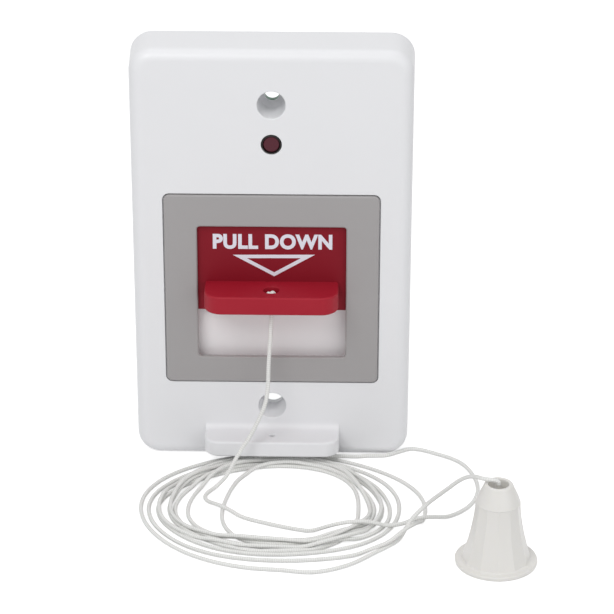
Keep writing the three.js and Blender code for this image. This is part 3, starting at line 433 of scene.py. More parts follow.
def metal(name, color, roughness):
    return material_from(name, "drawn metal", {"Color": color, "Roughness": roughness}, 0.003, Metallic=1.0)


def cord_material(settings):
    values = {"Color": settings.color, "Strands Along": settings.strands, "Strands Around": 4}
    return material_from("braided_cord", "braid", values, 0.08,
                         **{"Roughness": 0.75, "Sheen Weight": 0.25, "Sheen Roughness": 0.5})


# Settings

def length_property(name, description, default, unit="LENGTH"):
    return FloatProperty(name=name, description=description, default=default, unit=unit, precision=5)


def color_property(name, description, default):
    return FloatVectorProperty(name=name, description=description, default=default, size=4,
                               min=0, max=1, subtype="COLOR")


class AlarmCoverSettings(bpy.types.PropertyGroup):
    """Sizes and colour of the cover"""
    wall: length_property("Wall", "Thickness of the moulded wall", 2 * MM)
    corner: length_property("Corner", "Radius of the cover's four corners", 6 * MM)
    edge: length_property("Edge", "Radius round the front face", 3 * MM)
    draft: length_property("Draft", "How far the front is drawn in at the sides", 0.35 * MM)
    color: color_property("Colour", "Colour of the cover", tone(236, 236, 238))


class AlarmBezelSettings(bpy.types.PropertyGroup):
    """Sizes and colour of the bezel and its window"""
    window_width: length_property("Window Width", "Width of the window", 37.9 * MM)
    window_bottom: length_property("Window Bottom", "Height of the window's lower edge", 29.1 * MM)
    window_top: length_property("Window Top", "Height of the window's upper edge", 65.5 * MM)
    color: color_property("Colour", "Colour of the bezel", tone(164, 161, 161))


class AlarmSlideSettings(bpy.types.PropertyGroup):
    """Sizes, colours and lettering of the slide"""
    handle_width: length_property("Handle Width", "Width of the handle", 34.1 * MM)
    handle_bottom: length_property("Handle Bottom", "Height of the handle's underside", 45.05 * MM)
    handle_top: length_property("Handle Top", "Height of the handle's upper side", 49.9 * MM)
    label: StringProperty(name="Label", description="Words on the slide", default="PULL DOWN")
    color: color_property("Colour", "Colour of the slide", tone(168, 34, 50))
    # Painted shade: a darker red for the plate's front face behind the handle, standing in for the shade in the window
    # behind the bezel; the plate is the same red as the handle
    painted_shade_color: color_property("Painted Shade Colour", "Colour of the plate behind the handle", tone(134, 24, 38))
    ink: color_property("Ink", "Colour of the printed words and the arrow", tone(232, 232, 242))


class AlarmBellSettings(bpy.types.PropertyGroup):
    """Sizes and colour of the bell pull"""
    flutes: IntProperty(name="Flutes", description="Number of flat sides", default=12, min=6, max=24)
    color: color_property("Colour", "Colour of the bell pull", tone(232, 230, 226))


class AlarmCordSettings(bpy.types.PropertyGroup):
    """Size, lay and colour of the cord"""
    radius: length_property("Radius", "Radius of the cord", 0.53 * MM)
    strands: FloatProperty(name="Strands", description="Crossings of the braid per metre", default=900)
    color: color_property("Colour", "Colour of the cord", tone(247, 247, 244))


class AlarmStageSettings(bpy.types.PropertyGroup):
    """Camera and floor"""
    lens: FloatProperty(name="Lens", description="Focal length of the camera", default=152.443, unit="CAMERA")
    elevation: FloatProperty(name="Elevation", description="How far the camera looks down",
                             default=math.radians(24.796), subtype="ANGLE")
    yaw: FloatProperty(name="Yaw", description="How far the camera is turned to the left",
                       default=math.radians(0.922), subtype="ANGLE")
    roll: FloatProperty(name="Roll", description="Tilt of the camera", default=math.radians(0.127), subtype="ANGLE")
    floor: color_property("Floor", "Colour of the floor", (0.8, 0.8, 0.8, 1))


SETTINGS = {
    "alarm_cover": AlarmCoverSettings,
    "alarm_bezel": AlarmBezelSettings,
    "alarm_slide": AlarmSlideSettings,
    "alarm_bell": AlarmBellSettings,
    "alarm_cord": AlarmCordSettings,
    "alarm_stage": AlarmStageSettings,
}


# Stage

CAMERA_PLACE = (18.753, -605.585, 323.032)
# Each lamp's name, place in mm, width in metres and power in watts
LAMPS = [
    ("key", (-260, -520, 640), 0.45, 2.3),
    ("top", (20, 60, 690), 0.5, 0.55),
    ("fill", (420, -480, 300), 0.6, 0.7),
]
WORLD_LIGHT = 0.5
FLOOR_GLOW = 0.62


def white_when_seen(tree, plain, seen):
    """Mixes the plain light with the one that cameras, mirrors and glass see."""
    path = tree.nodes.new("ShaderNodeLightPath")
    first = node(tree, "ShaderNodeMath", operation="MAXIMUM")
    link(tree, path.outputs["Is Camera Ray"], first.inputs[0])
    link(tree, path.outputs["Is Glossy Ray"], first.inputs[1])
    second = node(tree, "ShaderNodeMath", operation="MAXIMUM")
    link(tree, first.outputs[0], second.inputs[0])
    link(tree, path.outputs["Is Transmission Ray"], second.inputs[1])
    mix = tree.nodes.new("ShaderNodeMixShader")
    link(tree, second.outputs[0], mix.inputs["Fac"])
    link(tree, plain, mix.inputs[1])
    link(tree, seen, mix.inputs[2])
    return mix.outputs["Shader"]


def lamp(name, where, size, power):
    data = bpy.data.lights.new(name, "AREA")
    data.shape = "DISK"
    data.size = size
    data.energy = power
    obj = bpy.data.objects.new(name, data)
    bpy.context.collection.objects.link(obj)
    target = place(0, 0, 50)
    spot = place(*where)
    obj.matrix_world = Matrix.Translation(spot) @ (spot - target).to_track_quat("Z", "Y").to_matrix().to_4x4()


def make_floor(color):
    bpy.ops.object.select_all(action="DESELECT")
    bpy.ops.mesh.primitive_plane_add(size=8, location=(0, 0, 0))
    floor = bpy.context.object
    floor.name = "floor"
    material = bpy.data.materials.new("floor")
    material.use_nodes = True
    tree = material.node_tree
    tree.nodes.clear()
    plain = node(tree, "ShaderNodeBsdfDiffuse")
    plain.inputs["Color"].default_value = color
    glow = node(tree, "ShaderNodeEmission")
    glow.inputs["Strength"].default_value = FLOOR_GLOW
    both = tree.nodes.new("ShaderNodeAddShader")
    link(tree, plain.outputs[0], both.inputs[0])
    link(tree, glow.outputs[0], both.inputs[1])
    out = tree.nodes.new("ShaderNodeOutputMaterial")
    link(tree, white_when_seen(tree, plain.outputs[0], both.outputs[0]), out.inputs["Surface"])
    floor.data.materials.append(material)


def make_world():
    world = bpy.data.worlds.new("studio")
    bpy.context.scene.world = world
    world.use_nodes = True
    tree = world.node_tree
    tree.nodes.clear()
    plain = node(tree, "ShaderNodeBackground")
    plain.inputs["Color"].default_value = (0.98, 0.99, 1, 1)
    plain.inputs["Strength"].default_value = WORLD_LIGHT
    seen = node(tree, "ShaderNodeBackground")
    seen.inputs["Color"].default_value = (1, 1, 1, 1)
    seen.inputs["Strength"].default_value = 1
    out = tree.nodes.new("ShaderNodeOutputWorld")
    link(tree, white_when_seen(tree, plain.outputs[0], seen.outputs[0]), out.inputs["Surface"])


class ALARM_OT_stage(bpy.types.Operator):
    """Sets up the camera, the floor and the light"""
    bl_idname = "alarm.stage"
    bl_label = "Stage"

    def execute(self, context):
        settings = context.scene.alarm_stage
        context.scene.view_settings.view_transform = "Standard"
        data = bpy.data.cameras.new("camera")
        data.lens = settings.lens
        data.sensor_width = 36
        camera = bpy.data.objects.new("camera", data)
        context.collection.objects.link(camera)
        camera.matrix_world = (
            Matrix.Translation(place(*CAMERA_PLACE))
            @ Matrix.Rotation(settings.yaw, 4, "Z")
            @ Matrix.Rotation(math.pi / 2 - settings.elevation, 4, "X")
            @ Matrix.Rotation(settings.roll, 4, "Z")
        )
        context.scene.camera = camera
        make_floor(settings.floor)
        make_world()
        for name, where, size, power in LAMPS:
            lamp(name, where, size, power)
        return {"FINISHED"}


# Cord

DROP = [(0, CORD_DEEP, 47), (0, CORD_DEEP, 45), (0, -4.5, 38), (-0.25, -5.2, 30), (-0.75, -6.6, 22),
        (-0.85, -7.6, 18), (-1.3, -8.7, 15), (-2.4, -9.4, 12), (-3.9, -10, 9), (-5.9, -11, 5.8), (-7.7, -12.4, 4.1)]
LANDING = [(-9.4, -14.1, 2.8), (-10.9, -16.1, 1.8), (-13.4, -18.7, 1), (-16, -21.7, 0.6), (-16.5, -24.3, 0.6),
           (-14.5, -27.9, 0.6), (-10.6, -31.4, 0.6), (-5.6, -34.7, 0.6), (-0.5, -37.1, 0.6), (5.6, -39.5, 0.6),
           (12, -41.2, 0.6), (17.8, -41.7, 0.6), (23.5, -41.1, 0.6), (28, -40.1, 0.6), (31.7, -39, 0.6),
           (34.5, -37.8, 0.6)]
LOOP = [(37.1, -36.5, 0.6), (41, -35.1, 0.6), (44.4, -33.3, 0.6), (47.6, -31, 0.6), (50, -28.3, 0.6),
        (51.8, -25.1, 0.6), (53, -21, 0.6), (53.3, -17.5, 0.6), (53.1, -14.5, 0.6), (52.4, -11.2, 0.6),
        (51.1, -7.2, 0.6), (49.2, -3.9, 0.6), (46.3, -1.2, 0.6), (42.9, 0.9, 0.6), (39.4, 2.8, 0.6),
        (36.4, 3.4, 0.6), (33.6, 1.9, 0.6), (30, -0.3, 0.6), (24, -0.9, 0.6), (17.5, -2.9, 0.6)]
RUN_OUT = [(11.7, -60.8, 0.6), (19.7, -57.5, 0.6), (26.8, -51, 0.6), (32, -45.6, 0.6)]
TAIL = [(34.2, -42.6, 0.6), (35.6, -41, 1), (37.4, -40, 1.9), (39.2, -39.5, 3.2), (40.9, -40.35, 5.2),
        (42.8, -42.1, 8), (44.8, -44.3, 11.4), (46.8, -45.9, 14.6), (48.7, -47.9, 17.7), (50.2, -50, 20),
        (51.2, -51.7, 21.5), (52.3, -52.9, 22.3), (53.4, -53.4, 22.6), (54.6, -53.6, 22.2), (55.6, -53.6, 21),
        (56.1, -53.6, 19.4), (BELL_X, BELL_DEEP, 17.8), (BELL_X, BELL_DEEP, 16.3)]

# How far each turn of the coil reaches from its centre: to the back, left, front and right
COIL_CENTRE = (3.4, -29.6)
COIL_REACHES = [
    (27.9, 31.2, 20.7, 24.5),
    (26.5, 28.5, 18.5, 22.1),
    (24.9, 24.3, 17.4, 23.3),
    (23.1, 15.0, 18.7, 25.0),
    (24.1, 26.8, 19.6, 27.3),
    (25.6, 28.7, 21.8, 19.7),
    (22.4, 31.4, 23.1, 29.5),
    (27.1, 33.5, 26.3, 36.0),
    (28.9, 36.0, 30.3, 29.9),
]
POINTS_PER_TURN = 24
CORD_STEP = 0.7
HUMP_RADIUS = 14
HUMP_REACH = 12
PILE_PASSES = 14
NEXT_TURN = 4
EASE_WIDTH, EASE_STEPS = 1.2, 4
# Only cord that lies lower than this is laid over
TAIL_LIFTS = 0.65


def between(first, second, share):
    """Glides from one reach to the next, level at both ends."""
    return first + (second - first) * (1 - math.cos(share * math.pi)) / 2


def reach_at(quarters, side):
    """Reach along one axis at a place counted in quarter turns; side 0 is back to front, 1 left to right."""
    turns = max(quarters - side, 0) / 2
    half = int(turns)
    reaches = [value for turn in COIL_REACHES for value in turn[side::2]]
    last = len(reaches) - 1
    return between(reaches[min(half, last)], reaches[min(half + 1, last)], turns - half)


def coil_points():
    """The turns of the coil, from the back of the first one to the front of the last."""
    total = 4 * (len(COIL_REACHES) - 1) + 2
    steps = round(total * POINTS_PER_TURN / 4)
    points = []
    for step in range(steps + 1):
        quarters = total * step / steps
        angle = math.pi / 2 * (1 + quarters)
        wobble = 0.3 * math.sin(2.3 * angle) + 0.2 * math.sin(5.1 * angle + 1)
        x = COIL_CENTRE[0] + (reach_at(quarters, 1) + wobble) * math.cos(angle)
        deep = COIL_CENTRE[1] + (reach_at(quarters, 0) + wobble) * math.sin(angle)
        points.append((x, deep, 0.6))
    return points


def curve_through(points, step):
    """Points about a step apart on a smooth curve through the given ones."""
    given = np.array(points, float)
    ends = np.vstack([2 * given[0] - given[1], given, 2 * given[-1] - given[-2]])
    samples = []
    for at in range(1, len(ends) - 2):
        a, b, c, d = ends[at - 1:at + 3]
        knots = np.cumsum([0] + [max(np.linalg.norm(q - p), 1e-6) ** 0.5 for p, q in ((a, b), (b, c), (c, d))])
        count = max(2, round(np.linalg.norm(c - b) / step))
        for t in np.linspace(knots[1], knots[2], count, endpoint=False):
            ab = a + (b - a) * (t - knots[0]) / (knots[1] - knots[0])
            bc = b + (c - b) * (t - knots[1]) / (knots[2] - knots[1])
            cd = c + (d - c) * (t - knots[2]) / (knots[3] - knots[2])
            abc = ab + (bc - ab) * (t - knots[0]) / (knots[2] - knots[0])
            bcd = bc + (cd - bc) * (t - knots[1]) / (knots[3] - knots[1])
            samples.append(abc + (bcd - abc) * (t - knots[1]) / (knots[2] - knots[1]))
    samples.append(given[-1])
    return np.array(samples)


def pile_up(line, thickness):
    """Lifts each stretch over those laid before it, from the bell end on, and eases the humps."""
    flat = line[:, :2]
    gap = np.linalg.norm(flat[:, None] - flat[None], axis=2)
    later, earlier = np.nonzero(gap < thickness)
    keep = (earlier > later + round(NEXT_TURN / CORD_STEP)) & (line[earlier, 2] < TAIL_LIFTS)
    later, earlier = later[keep], earlier[keep]
    lift = np.sqrt(thickness ** 2 - gap[later, earlier] ** 2)
    window = round(HUMP_REACH / CORD_STEP)
    height = line[:, 2].copy()
    for _ in range(PILE_PASSES):
        needed = line[:, 2].copy()
        np.maximum.at(needed, later, height[earlier] + lift)
        humped = needed.copy()
        for shift in range(1, window + 1):
            drop = (shift * CORD_STEP) ** 2 / (2 * HUMP_RADIUS)
            humped[shift:] = np.maximum(humped[shift:], needed[:-shift] - drop)
            humped[:-shift] = np.maximum(humped[:-shift], needed[shift:] - drop)
        height = humped
    ease = np.exp(-0.5 * (np.arange(-EASE_STEPS, EASE_STEPS + 1) * CORD_STEP / EASE_WIDTH) ** 2)
    eased = np.convolve(np.pad(height, EASE_STEPS, mode="edge"), ease / ease.sum(), "valid")
    piled = line.copy()
    piled[:, 2] = np.where(line[:, 2] < TAIL_LIFTS, eased, height)
    return piled


def cord_line(radius):
    route = DROP + LANDING + LOOP + coil_points() + RUN_OUT + TAIL
    line = pile_up(curve_through(route, CORD_STEP), 2 * radius / MM)
    return [place(*point) for point in line]


def tube(name, line, radius, sides=10):
    """A tube along the line, closed at both ends, with metres along its UV map's first axis."""
    directions = [(line[min(at + 1, len(line) - 1)] - line[max(at - 1, 0)]).normalized() for at in range(len(line))]
    side = directions[0].orthogonal().normalized()
    vertices = []
    for centre, direction in zip(line, directions):
        side = (side - direction * side.dot(direction)).normalized()
        other = direction.cross(side)
        for turn in range(sides):
            angle = 2 * math.pi * turn / sides
            vertices.append(centre + radius * (math.cos(angle) * side + math.sin(angle) * other))
    faces = []
    for ring in range(len(line) - 1):
        for turn in range(sides):
            after = (turn + 1) % sides
            faces.append((ring * sides + turn, ring * sides + after,
                          (ring + 1) * sides + after, (ring + 1) * sides + turn))
    faces.append(tuple(reversed(range(sides))))
    faces.append(tuple(range((len(line) - 1) * sides, len(line) * sides)))
    mesh = bpy.data.meshes.new(name)
    mesh.from_pydata(vertices, [], faces)
    run = [0.0]
    for start, end in zip(line, line[1:]):
        run.append(run[-1] + (end - start).length)
    uv = mesh.uv_layers.new(name="UVMap")
    for face in mesh.polygons:
        wraps = face.index < (len(line) - 1) * sides and face.index % sides == sides - 1
        for loop in face.loop_indices:
            ring, turn = divmod(mesh.loops[loop].vertex_index, sides)
            uv.data[loop].uv = (run[ring], 1.0 if wraps and turn == 0 else turn / sides)
    for face in mesh.polygons:
        face.use_smooth = True
    obj = bpy.data.objects.new(name, mesh)
    bpy.context.collection.objects.link(obj)
    return obj, run[-1]


def knot_line(centre, up, size):
    """A single overhand knot pulled tight: a small three-lobed loop that passes over itself."""
    points = []
    for step in range(61):
        angle = 2 * math.pi * step / 60
        x = math.sin(angle) + 2 * math.sin(2 * angle)
        y = math.cos(angle) - 2 * math.cos(2 * angle)
        z = -math.sin(3 * angle)
        points.append(centre + Vector((x * size, y * size, z * up)))
    return points


class ALARM_OT_cord(bpy.types.Operator):
    """Lays the cord from the slide to the bell, and ties its two knots"""
    bl_idname = "alarm.cord"
    bl_label = "Cord"

    def execute(self, context):
        settings = context.scene.alarm_cord
        material = cord_material(settings)
        line = cord_line(settings.radius)
        cord, length = tube("cord", line, settings.radius)
        finish(cord, "cord", material, "cord_drop", "cord_coil", "cord_loop", "cord_tail")
        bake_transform(cord)
        for name, body in (("slide_knot", "slide"), ("bell_knot", "station")):
            low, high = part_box(name)
            middle = (Vector(low) + Vector(high)) / 2
            knot, _ = tube(name + "_tied", knot_line(middle, 0.5 * MM, 0.3 * MM), settings.radius)
            seat(knot, body, "cord", material, name)
        return {"FINISHED"}


# Cover

TRACK_BOSSES = [(side * 28.35, z) for side in (-1, 1) for z in (34, 70)]
BOARD_BOSSES = [(side * 20.5, z) for side in (-1, 1) for z in (22.2, 101)]
TRACK_BOSS_TOP, TRACK_PILOT = 4.0, 1.8
BOARD_BOSS_TOP, BOARD_PILOT = 9.2, 7.0


def draw_in(obj, draft):
    """Leans the sides and the top in towards the front, and leaves the foot flat."""
    for vertex in obj.data.vertices:
        deep = (vertex.co.y - FRONT) / MM
        share = min(1, (COVER_DEPTH - deep) / (COVER_DEPTH - 3))
        vertex.co.x -= math.copysign(draft * share, vertex.co.x)
        vertex.co.z -= 2 * draft * share * vertex.co.z / COVER_HIGH[2]


def cover_shell(settings):
    half, top = COVER_HIGH[0] / MM, COVER_HIGH[2] / MM
    wall, corner = settings.wall / MM, settings.corner / MM
    shell = rounded_block("cover", (-half, 0, 0), (half, COVER_DEPTH, top), corner, 14)
    round_edges(shell, lambda a, b: near(a.y, FRONT) and near(b.y, FRONT), settings.edge / MM, 10)
    hollow = rounded_block("hollow", (wall - half, wall, wall), (half - wall, COVER_DEPTH + 2, top - wall),
                           corner - wall)
    round_edges(hollow, lambda a, b: near(a.y, FRONT + settings.wall) and near(b.y, FRONT + settings.wall), 1, 3)
    rim = 1.2
    step = rounded_block("step", (rim - half, 11.8, rim), (half - rim, COVER_DEPTH + 2, top - rim), corner - rim)
    cut(shell, hollow, step)
    draw_in(shell, settings.draft)
    return shell


def shelf():
    """The shelf at the foot of the cover, with a concave fillet along its root."""
    plate = block("shelf", (-17.5, -8.5, 4), (17.5, 1, 8.3))
    corner_y = place(0, -8.5, 0).y
    round_edges(plate, lambda a, b: near(a.x, b.x) and near(a.y, b.y) and near(a.y, corner_y), 4, 10)
    select_parts(plate, "EDGE", lambda a, b: near(a.z, b.z) and (
        near(a.z, 4 * MM) or near(a.z, 8.3 * MM)) and not (near(a.y, FRONT + MM) and near(b.y, FRONT + MM)))
    bpy.ops.mesh.bevel(offset=0.6 * MM, segments=4, profile=0.5, affect="EDGES")
    leave_edit()
    fillet = block("fillet", (-17.4, -1.6, 7.5), (17.4, 1, 9.9))
    bpy.ops.object.select_all(action="DESELECT")
    bpy.ops.mesh.primitive_cylinder_add(vertices=48, radius=1.6 * MM, depth=60 * MM,
                                        location=place(0, -1.6, 9.9), rotation=(0, math.pi / 2, 0))
    scoop = bpy.context.object
    bpy.ops.object.transform_apply(location=True, rotation=True, scale=True)
    cut(fillet, scoop)
    add(plate, fillet)
    return plate


def bore(z, seat_radius):
    """The room of a screw tunnel: a soft mouth, a slight taper and a seat for the screw's head."""
    mouth = [(radius, height) for radius, height in quarter(3.54, 0, 0.3, 4)]
    profile = [(mouth[0][0], -2)] + mouth + [(3.2, 7.2), (seat_radius, 7.2 + 3.2 - seat_radius), (seat_radius, 12)]
    return turned("bore", 0, 0, z, profile, "Y")


class ALARM_OT_cover(bpy.types.Operator):
    """Models the moulded cover with its shelf, tunnels and bosses"""
    bl_idname = "alarm.cover"
    bl_label = "Cover"

    def execute(self, context):
        settings = context.scene.alarm_cover
        cover = cover_shell(settings)
        add(cover, shelf())
        for z in (UPPER_TUNNEL_Z, LOWER_TUNNEL_Z):
            add(cover, turned("tunnel", 0, 0, z, [(4.84, 1), (4.84, 9.2)], "Y"))
        add(cover, turned("collar", 0, 0, LAMP_Z, [(4.42, 1), (4.42, 4.2)], "Y"))
        for places, top, pilot in ((TRACK_BOSSES, TRACK_BOSS_TOP, TRACK_PILOT),
                                   (BOARD_BOSSES, BOARD_BOSS_TOP, BOARD_PILOT)):
            for x, z in places:
                add(cover, turned("boss", x, 0, z, [(2.5, 1), (2.5, top)], "Y", 32))
                cut(cover, turned("pilot", x, 0, z, [(1.1, pilot), (1.1, top + 1)], "Y", 24))
        low, high = BEZEL_LOW, BEZEL_HIGH
        gap = 0.3
        pocket = rounded_block("pocket", (low[0] / MM - gap, -1, low[2] / MM - gap),
                               (high[0] / MM + gap, 0.9, high[2] / MM + gap), 1.7, 5)
        ledge = 2.1
        opening = rounded_block("opening", (low[0] / MM + ledge, -1, low[2] / MM + ledge),
                                (high[0] / MM - ledge, 3, high[2] / MM - ledge), 1.5, 5)
        mouth = quarter(2.62, 0, 0.15, 3)
        lamp_hole = turned("lamp hole", 0, 0, LAMP_Z, [(mouth[0][0], -1)] + mouth + [(2.62, 6)], "Y")
        cord_hole = turned("cord hole", 0, CORD_DEEP, 0, [(0.7, 3), (0.7, 8), (0.9, 8.3), (0.9, 9)], "Z", 24)
        cut(cover, pocket, opening, bore(UPPER_TUNNEL_Z, 1.95), bore(LOWER_TUNNEL_Z, 2.9), lamp_hole, cord_hole)
        smooth(cover)
        material = plastic("cover_plastic", settings.color, 0.36, shade=0.03, bump=0.003)
        seat(cover, "station", "cover", material, "front_cover")
        return {"FINISHED"}


# Bezel

def clip(side, z):
    """A snap clip: a thin stem with a slanted hook at its end."""
    outer = BEZEL_HIGH[0] / MM - 2.1 - 0.3
    stem = block("clip", (outer - 1.2, 0.2, z - 2.5), (outer, 3.2, z + 2.5))
    hook = block("hook", (outer - 0.4, 2.3, z - 2.5), (outer + 0.9, 3.2, z + 2.5))
    tip_y, tip_x = place(0, 3.2, 0).y, (outer + 0.9) * MM
    for vertex in hook.data.vertices:
        if near(vertex.co.y, tip_y) and near(vertex.co.x, tip_x):
            vertex.co.x = outer * MM - 0.1 * MM
    add(stem, hook)
    if side < 0:
        activate(stem)
        stem.scale.x = -1
        bpy.ops.object.transform_apply(location=False, rotation=False, scale=True)
        face_outward(stem)
    return stem


class ALARM_OT_bezel(bpy.types.Operator):
    """Models the grey bezel round the window"""
    bl_idname = "alarm.bezel"
    bl_label = "Bezel"

    def execute(self, context):
        settings = context.scene.alarm_bezel
        half, bottom, top = BEZEL_HIGH[0] / MM, BEZEL_LOW[2] / MM, BEZEL_HIGH[2] / MM
        face = (BEZEL_LOW[1] - FRONT) / MM
        bezel = rounded_block("bezel_frame", (-half, face, bottom), (half, 0.6, top), 1.5, 6)
        wide = settings.window_width / 2 / MM
        window = rounded_block("window", (-wide, face - 1, settings.window_bottom / MM),
                               (wide, 2, settings.window_top / MM), 0.8, 4)
        cut(bezel, window)
        face_y = BEZEL_LOW[1]
        round_edges(bezel, lambda a, b: near(a.y, face_y) and near(b.y, face_y), 0.5, 5)
        for z in (44, 57):
            add(bezel, clip(-1, z), clip(1, z))
        smooth(bezel)
        material = plastic("bezel_plastic", settings.color, 0.42, shade=0.05, bump=0.006)
        seat(bezel, "station", "bezel", material, "bezel")
        return {"FINISHED"}


# Slide

def handle_block(settings):
    half = settings.handle_width / 2 / MM
    low, high = settings.handle_bottom / MM, settings.handle_top / MM
    reach = (SLIDE_LOW[1] - FRONT) / MM
    handle = block("handle", (-half, reach, low), (half, 1.6, high))
    front = SLIDE_LOW[1]
    round_edges(handle, lambda a, b: near(a.x, b.x) and near(a.y, b.y) and near(a.y, front), 4.5, 12)
    round_edges(handle, lambda a, b: near(a.z, b.z) and not (near(a.y, b.y) and a.y > FRONT + MM), 0.5, 4)
    return handle


DETENTS = (47, 59.5)


def detent(z):
    """A V-shaped notch across the middle of the slide's back."""
    notch = block("notch", (-2.8, 2.4, z - 1.3), (2.8, 3.4, z + 1.3))
    inner = place(0, 2.4, 0).y
    for vertex in notch.data.vertices:
        if near(vertex.co.y, inner):
            vertex.co.z = z * MM + math.copysign(0.05 * MM, vertex.co.z - z * MM)
    return notch


def thicken(obj, thickness):
    """Gives a flat outline, the active object, a thickness in mm."""
    body = obj.modifiers.new("ink", "SOLIDIFY")
    body.thickness = thickness * MM
    body.offset = 1
    bpy.ops.object.modifier_apply(modifier=body.name)


def printed(name, obj, deep, thickness):
    """Gives a flat outline a print's thickness and stands it upright on the slide's face."""
    obj.name = name
    activate(obj)
    bpy.ops.object.convert(target="MESH")
    obj = bpy.context.object
    obj.data.transform(Matrix.Translation((0, FRONT + deep * MM, 0)) @ Matrix.Rotation(math.pi / 2, 4, "X"))
    thicken(obj, thickness)
    return obj


LABEL_LEFT, LABEL_RIGHT = -15.0, 15.4
LABEL_BASE, LABEL_HEIGHT = 58.9, 4.2
LABEL_BOLDNESS = 0.00045
INK_THICKNESS = 0.03


def label(settings):
    """The words on the slide, fitted between the ends of their band."""
    bpy.ops.object.select_all(action="DESELECT")
    bpy.ops.object.text_add(location=(0, 0, 0))
    text = bpy.context.object
    text.data.body = settings.label
    text.data.size = 0.01
    text.data.offset = LABEL_BOLDNESS
    text.data.space_character = 1.08
    text.data.resolution_u = 6
    words = printed("label", text, SLIDE_FACE, INK_THICKNESS)
    corners = [Vector(vertex.co) for vertex in words.data.vertices]
    low_x, high_x = min(c.x for c in corners), max(c.x for c in corners)
    low_z, high_z = min(c.z for c in corners), max(c.z for c in corners)
    wide = (LABEL_RIGHT - LABEL_LEFT) * MM / (high_x - low_x)
    tall = LABEL_HEIGHT * MM / (high_z - low_z)
    for vertex in words.data.vertices:
        vertex.co.x = LABEL_LEFT * MM + (vertex.co.x - low_x) * wide
        vertex.co.z = LABEL_BASE * MM + (vertex.co.z - low_z) * tall
    for face in words.data.polygons:
        face.use_smooth = False
    return words


ARROW = [(-9.95, 57.3), (11.0, 57.5), (0.6, 51.4)]
ARROW_BAR = 0.95


def arrow():
    """A broad outlined triangle that points down."""
    corners = [Vector((x, z)) * MM for x, z in ARROW]
    lines = []
    for at, corner in enumerate(corners):
        before, after = corners[at - 1], corners[(at + 1) % 3]
        to_before, to_after = (before - corner).normalized(), (after - corner).normalized()
        half = to_before.angle(to_after) / 2
        inward = (to_before + to_after).normalized()
        lines.append((corner, corner + inward * ARROW_BAR * MM / math.sin(half)))
    mesh = bpy.data.meshes.new("arrow")
    vertices = [(p.x, 0, p.y) for pair in lines for p in pair]
    faces = [(2 * at + 1, 2 * ((at + 1) % 3) + 1, 2 * ((at + 1) % 3), 2 * at) for at in range(3)]
    mesh.from_pydata(vertices, [], faces)
    obj = bpy.data.objects.new("arrow", mesh)
    bpy.context.collection.objects.link(obj)
    obj.data.transform(Matrix.Translation((0, FRONT + SLIDE_FACE * MM, 0)))
    activate(obj)
    thicken(obj, INK_THICKNESS)
    face_outward(obj)
    return obj


class ALARM_OT_slide(bpy.types.Operator):
    """Models the red slide with its handle, its words and its arrow"""
    bl_idname = "alarm.slide"
    bl_label = "Slide"

    def execute(self, context):
        settings = context.scene.alarm_slide
        slide = block("slide_plate", (-21, SLIDE_FACE, 42), (21, 2.9, 71.7))
        skirt = block("skirt", (-21, 2.3, 70.6), (21, 4, 79))
        add(slide, skirt, handle_block(settings))
        top = settings.handle_top / MM
        mouth = quarter(2.08, 0, 0.18, 3)
        profile = [(mouth[0][0], 1)] + [(r, -h) for r, h in mouth] + [(2.08, -3.1)]
        pocket = turned("pocket", 0, CORD_DEEP, top, profile, "Z")
        hole = turned("hole", 0, CORD_DEEP, 0, [(0.85, 44), (0.85, 48)], "Z", 32)
        magnet = block("magnet pocket", (-4.2, 1.7, 64.3), (4.2, 4, 67.7))
        cut(slide, pocket, hole, magnet, *[detent(z) for z in DETENTS])
        smooth(slide)
        red = plastic("slide_plastic", settings.color, 0.5, shade=0.08, bump=0.008,
                      **{"Specular IOR Level": 0.25})
        seat(slide, "slide", "slide", red, "slide")
        # Painted shade: the slide's front faces set back behind the handle get a darker copy of the red, for the shade
        # in the recess behind the bezel
        painted_shade_red = plastic("slide_painted_shade", settings.painted_shade_color, 0.55, shade=0.08, bump=0.008,
                           **{"Specular IOR Level": 0.2})
        slide.data.materials.append(painted_shade_red)
        for face in slide.data.polygons:
            if face.normal.y < -0.9 and face.center.y > FRONT + 0.5 * MM:
                face.material_index = 1
        ink = plastic("ink", settings.ink, 0.5, bump=0.002)
        for piece in (label(settings), arrow()):
            seat(piece, "slide", "slide", ink)
        return {"FINISHED"}


# Lamp

class ALARM_OT_lamp(bpy.types.Operator):
    """Models the lamp in its black holder"""
    bl_idname = "alarm.lamp"
    bl_label = "Lamp"

    def execute(self, context):
        ring = [(2.3, -0.02), (2.42, 0.1), (2.42, 4.4), (3.82, 4.4), (3.82, 5.3)]
        holder = turned("lamp_ring", 0, 0, LAMP_Z, ring, "Y")
        cut(holder, turned("bore", 0, 0, LAMP_Z, [(2.3, -1), (2.25, -0.02), (2.12, 0.2), (2.12, 6)], "Y"))
        smooth(holder)
        black = plastic("holder_plastic", tone(30, 24, 22), 0.35, shade=0.2, bump=0.004)
        seat(holder, "station", "lamp_holder", black, "lamp_holder")
        lens = [(0.02, 0.1), (1.2, 0.11), (1.75, 0.16), (1.95, 0.26), (2.02, 0.45)]
        bulb = turned("lamp_bulb", 0, 0, LAMP_Z, lens + [(2.02, 5.5), (2.4, 5.5), (2.4, 6.4)], "Y")
        for side in (-1, 1):
            add(bulb, turned("leg", side * 1.27, 0, LAMP_Z, [(0.3, 6), (0.3, 11.6)], "Y", 12))
        smooth(bulb)
        resin = plastic("lamp_resin", tone(88, 26, 42), 0.4, shade=0.55, grain=2600, bump=0.06,
                        **{"Specular IOR Level": 0.3})
        seat(bulb, "station", "lamp", resin, "indicator_lamp")
        return {"FINISHED"}


# Bell pull

def bell_profile():
    """Radius and height of the fluted body, from the foot to the shoulder."""
    foot, shoulder = 1.4, 16.5
    points = []
    for step in range(11):
        rise = step / 10
        points.append((5.5 + 2.9 * (1 - rise) ** 1.6, foot + (shoulder - foot) * rise))
    return points


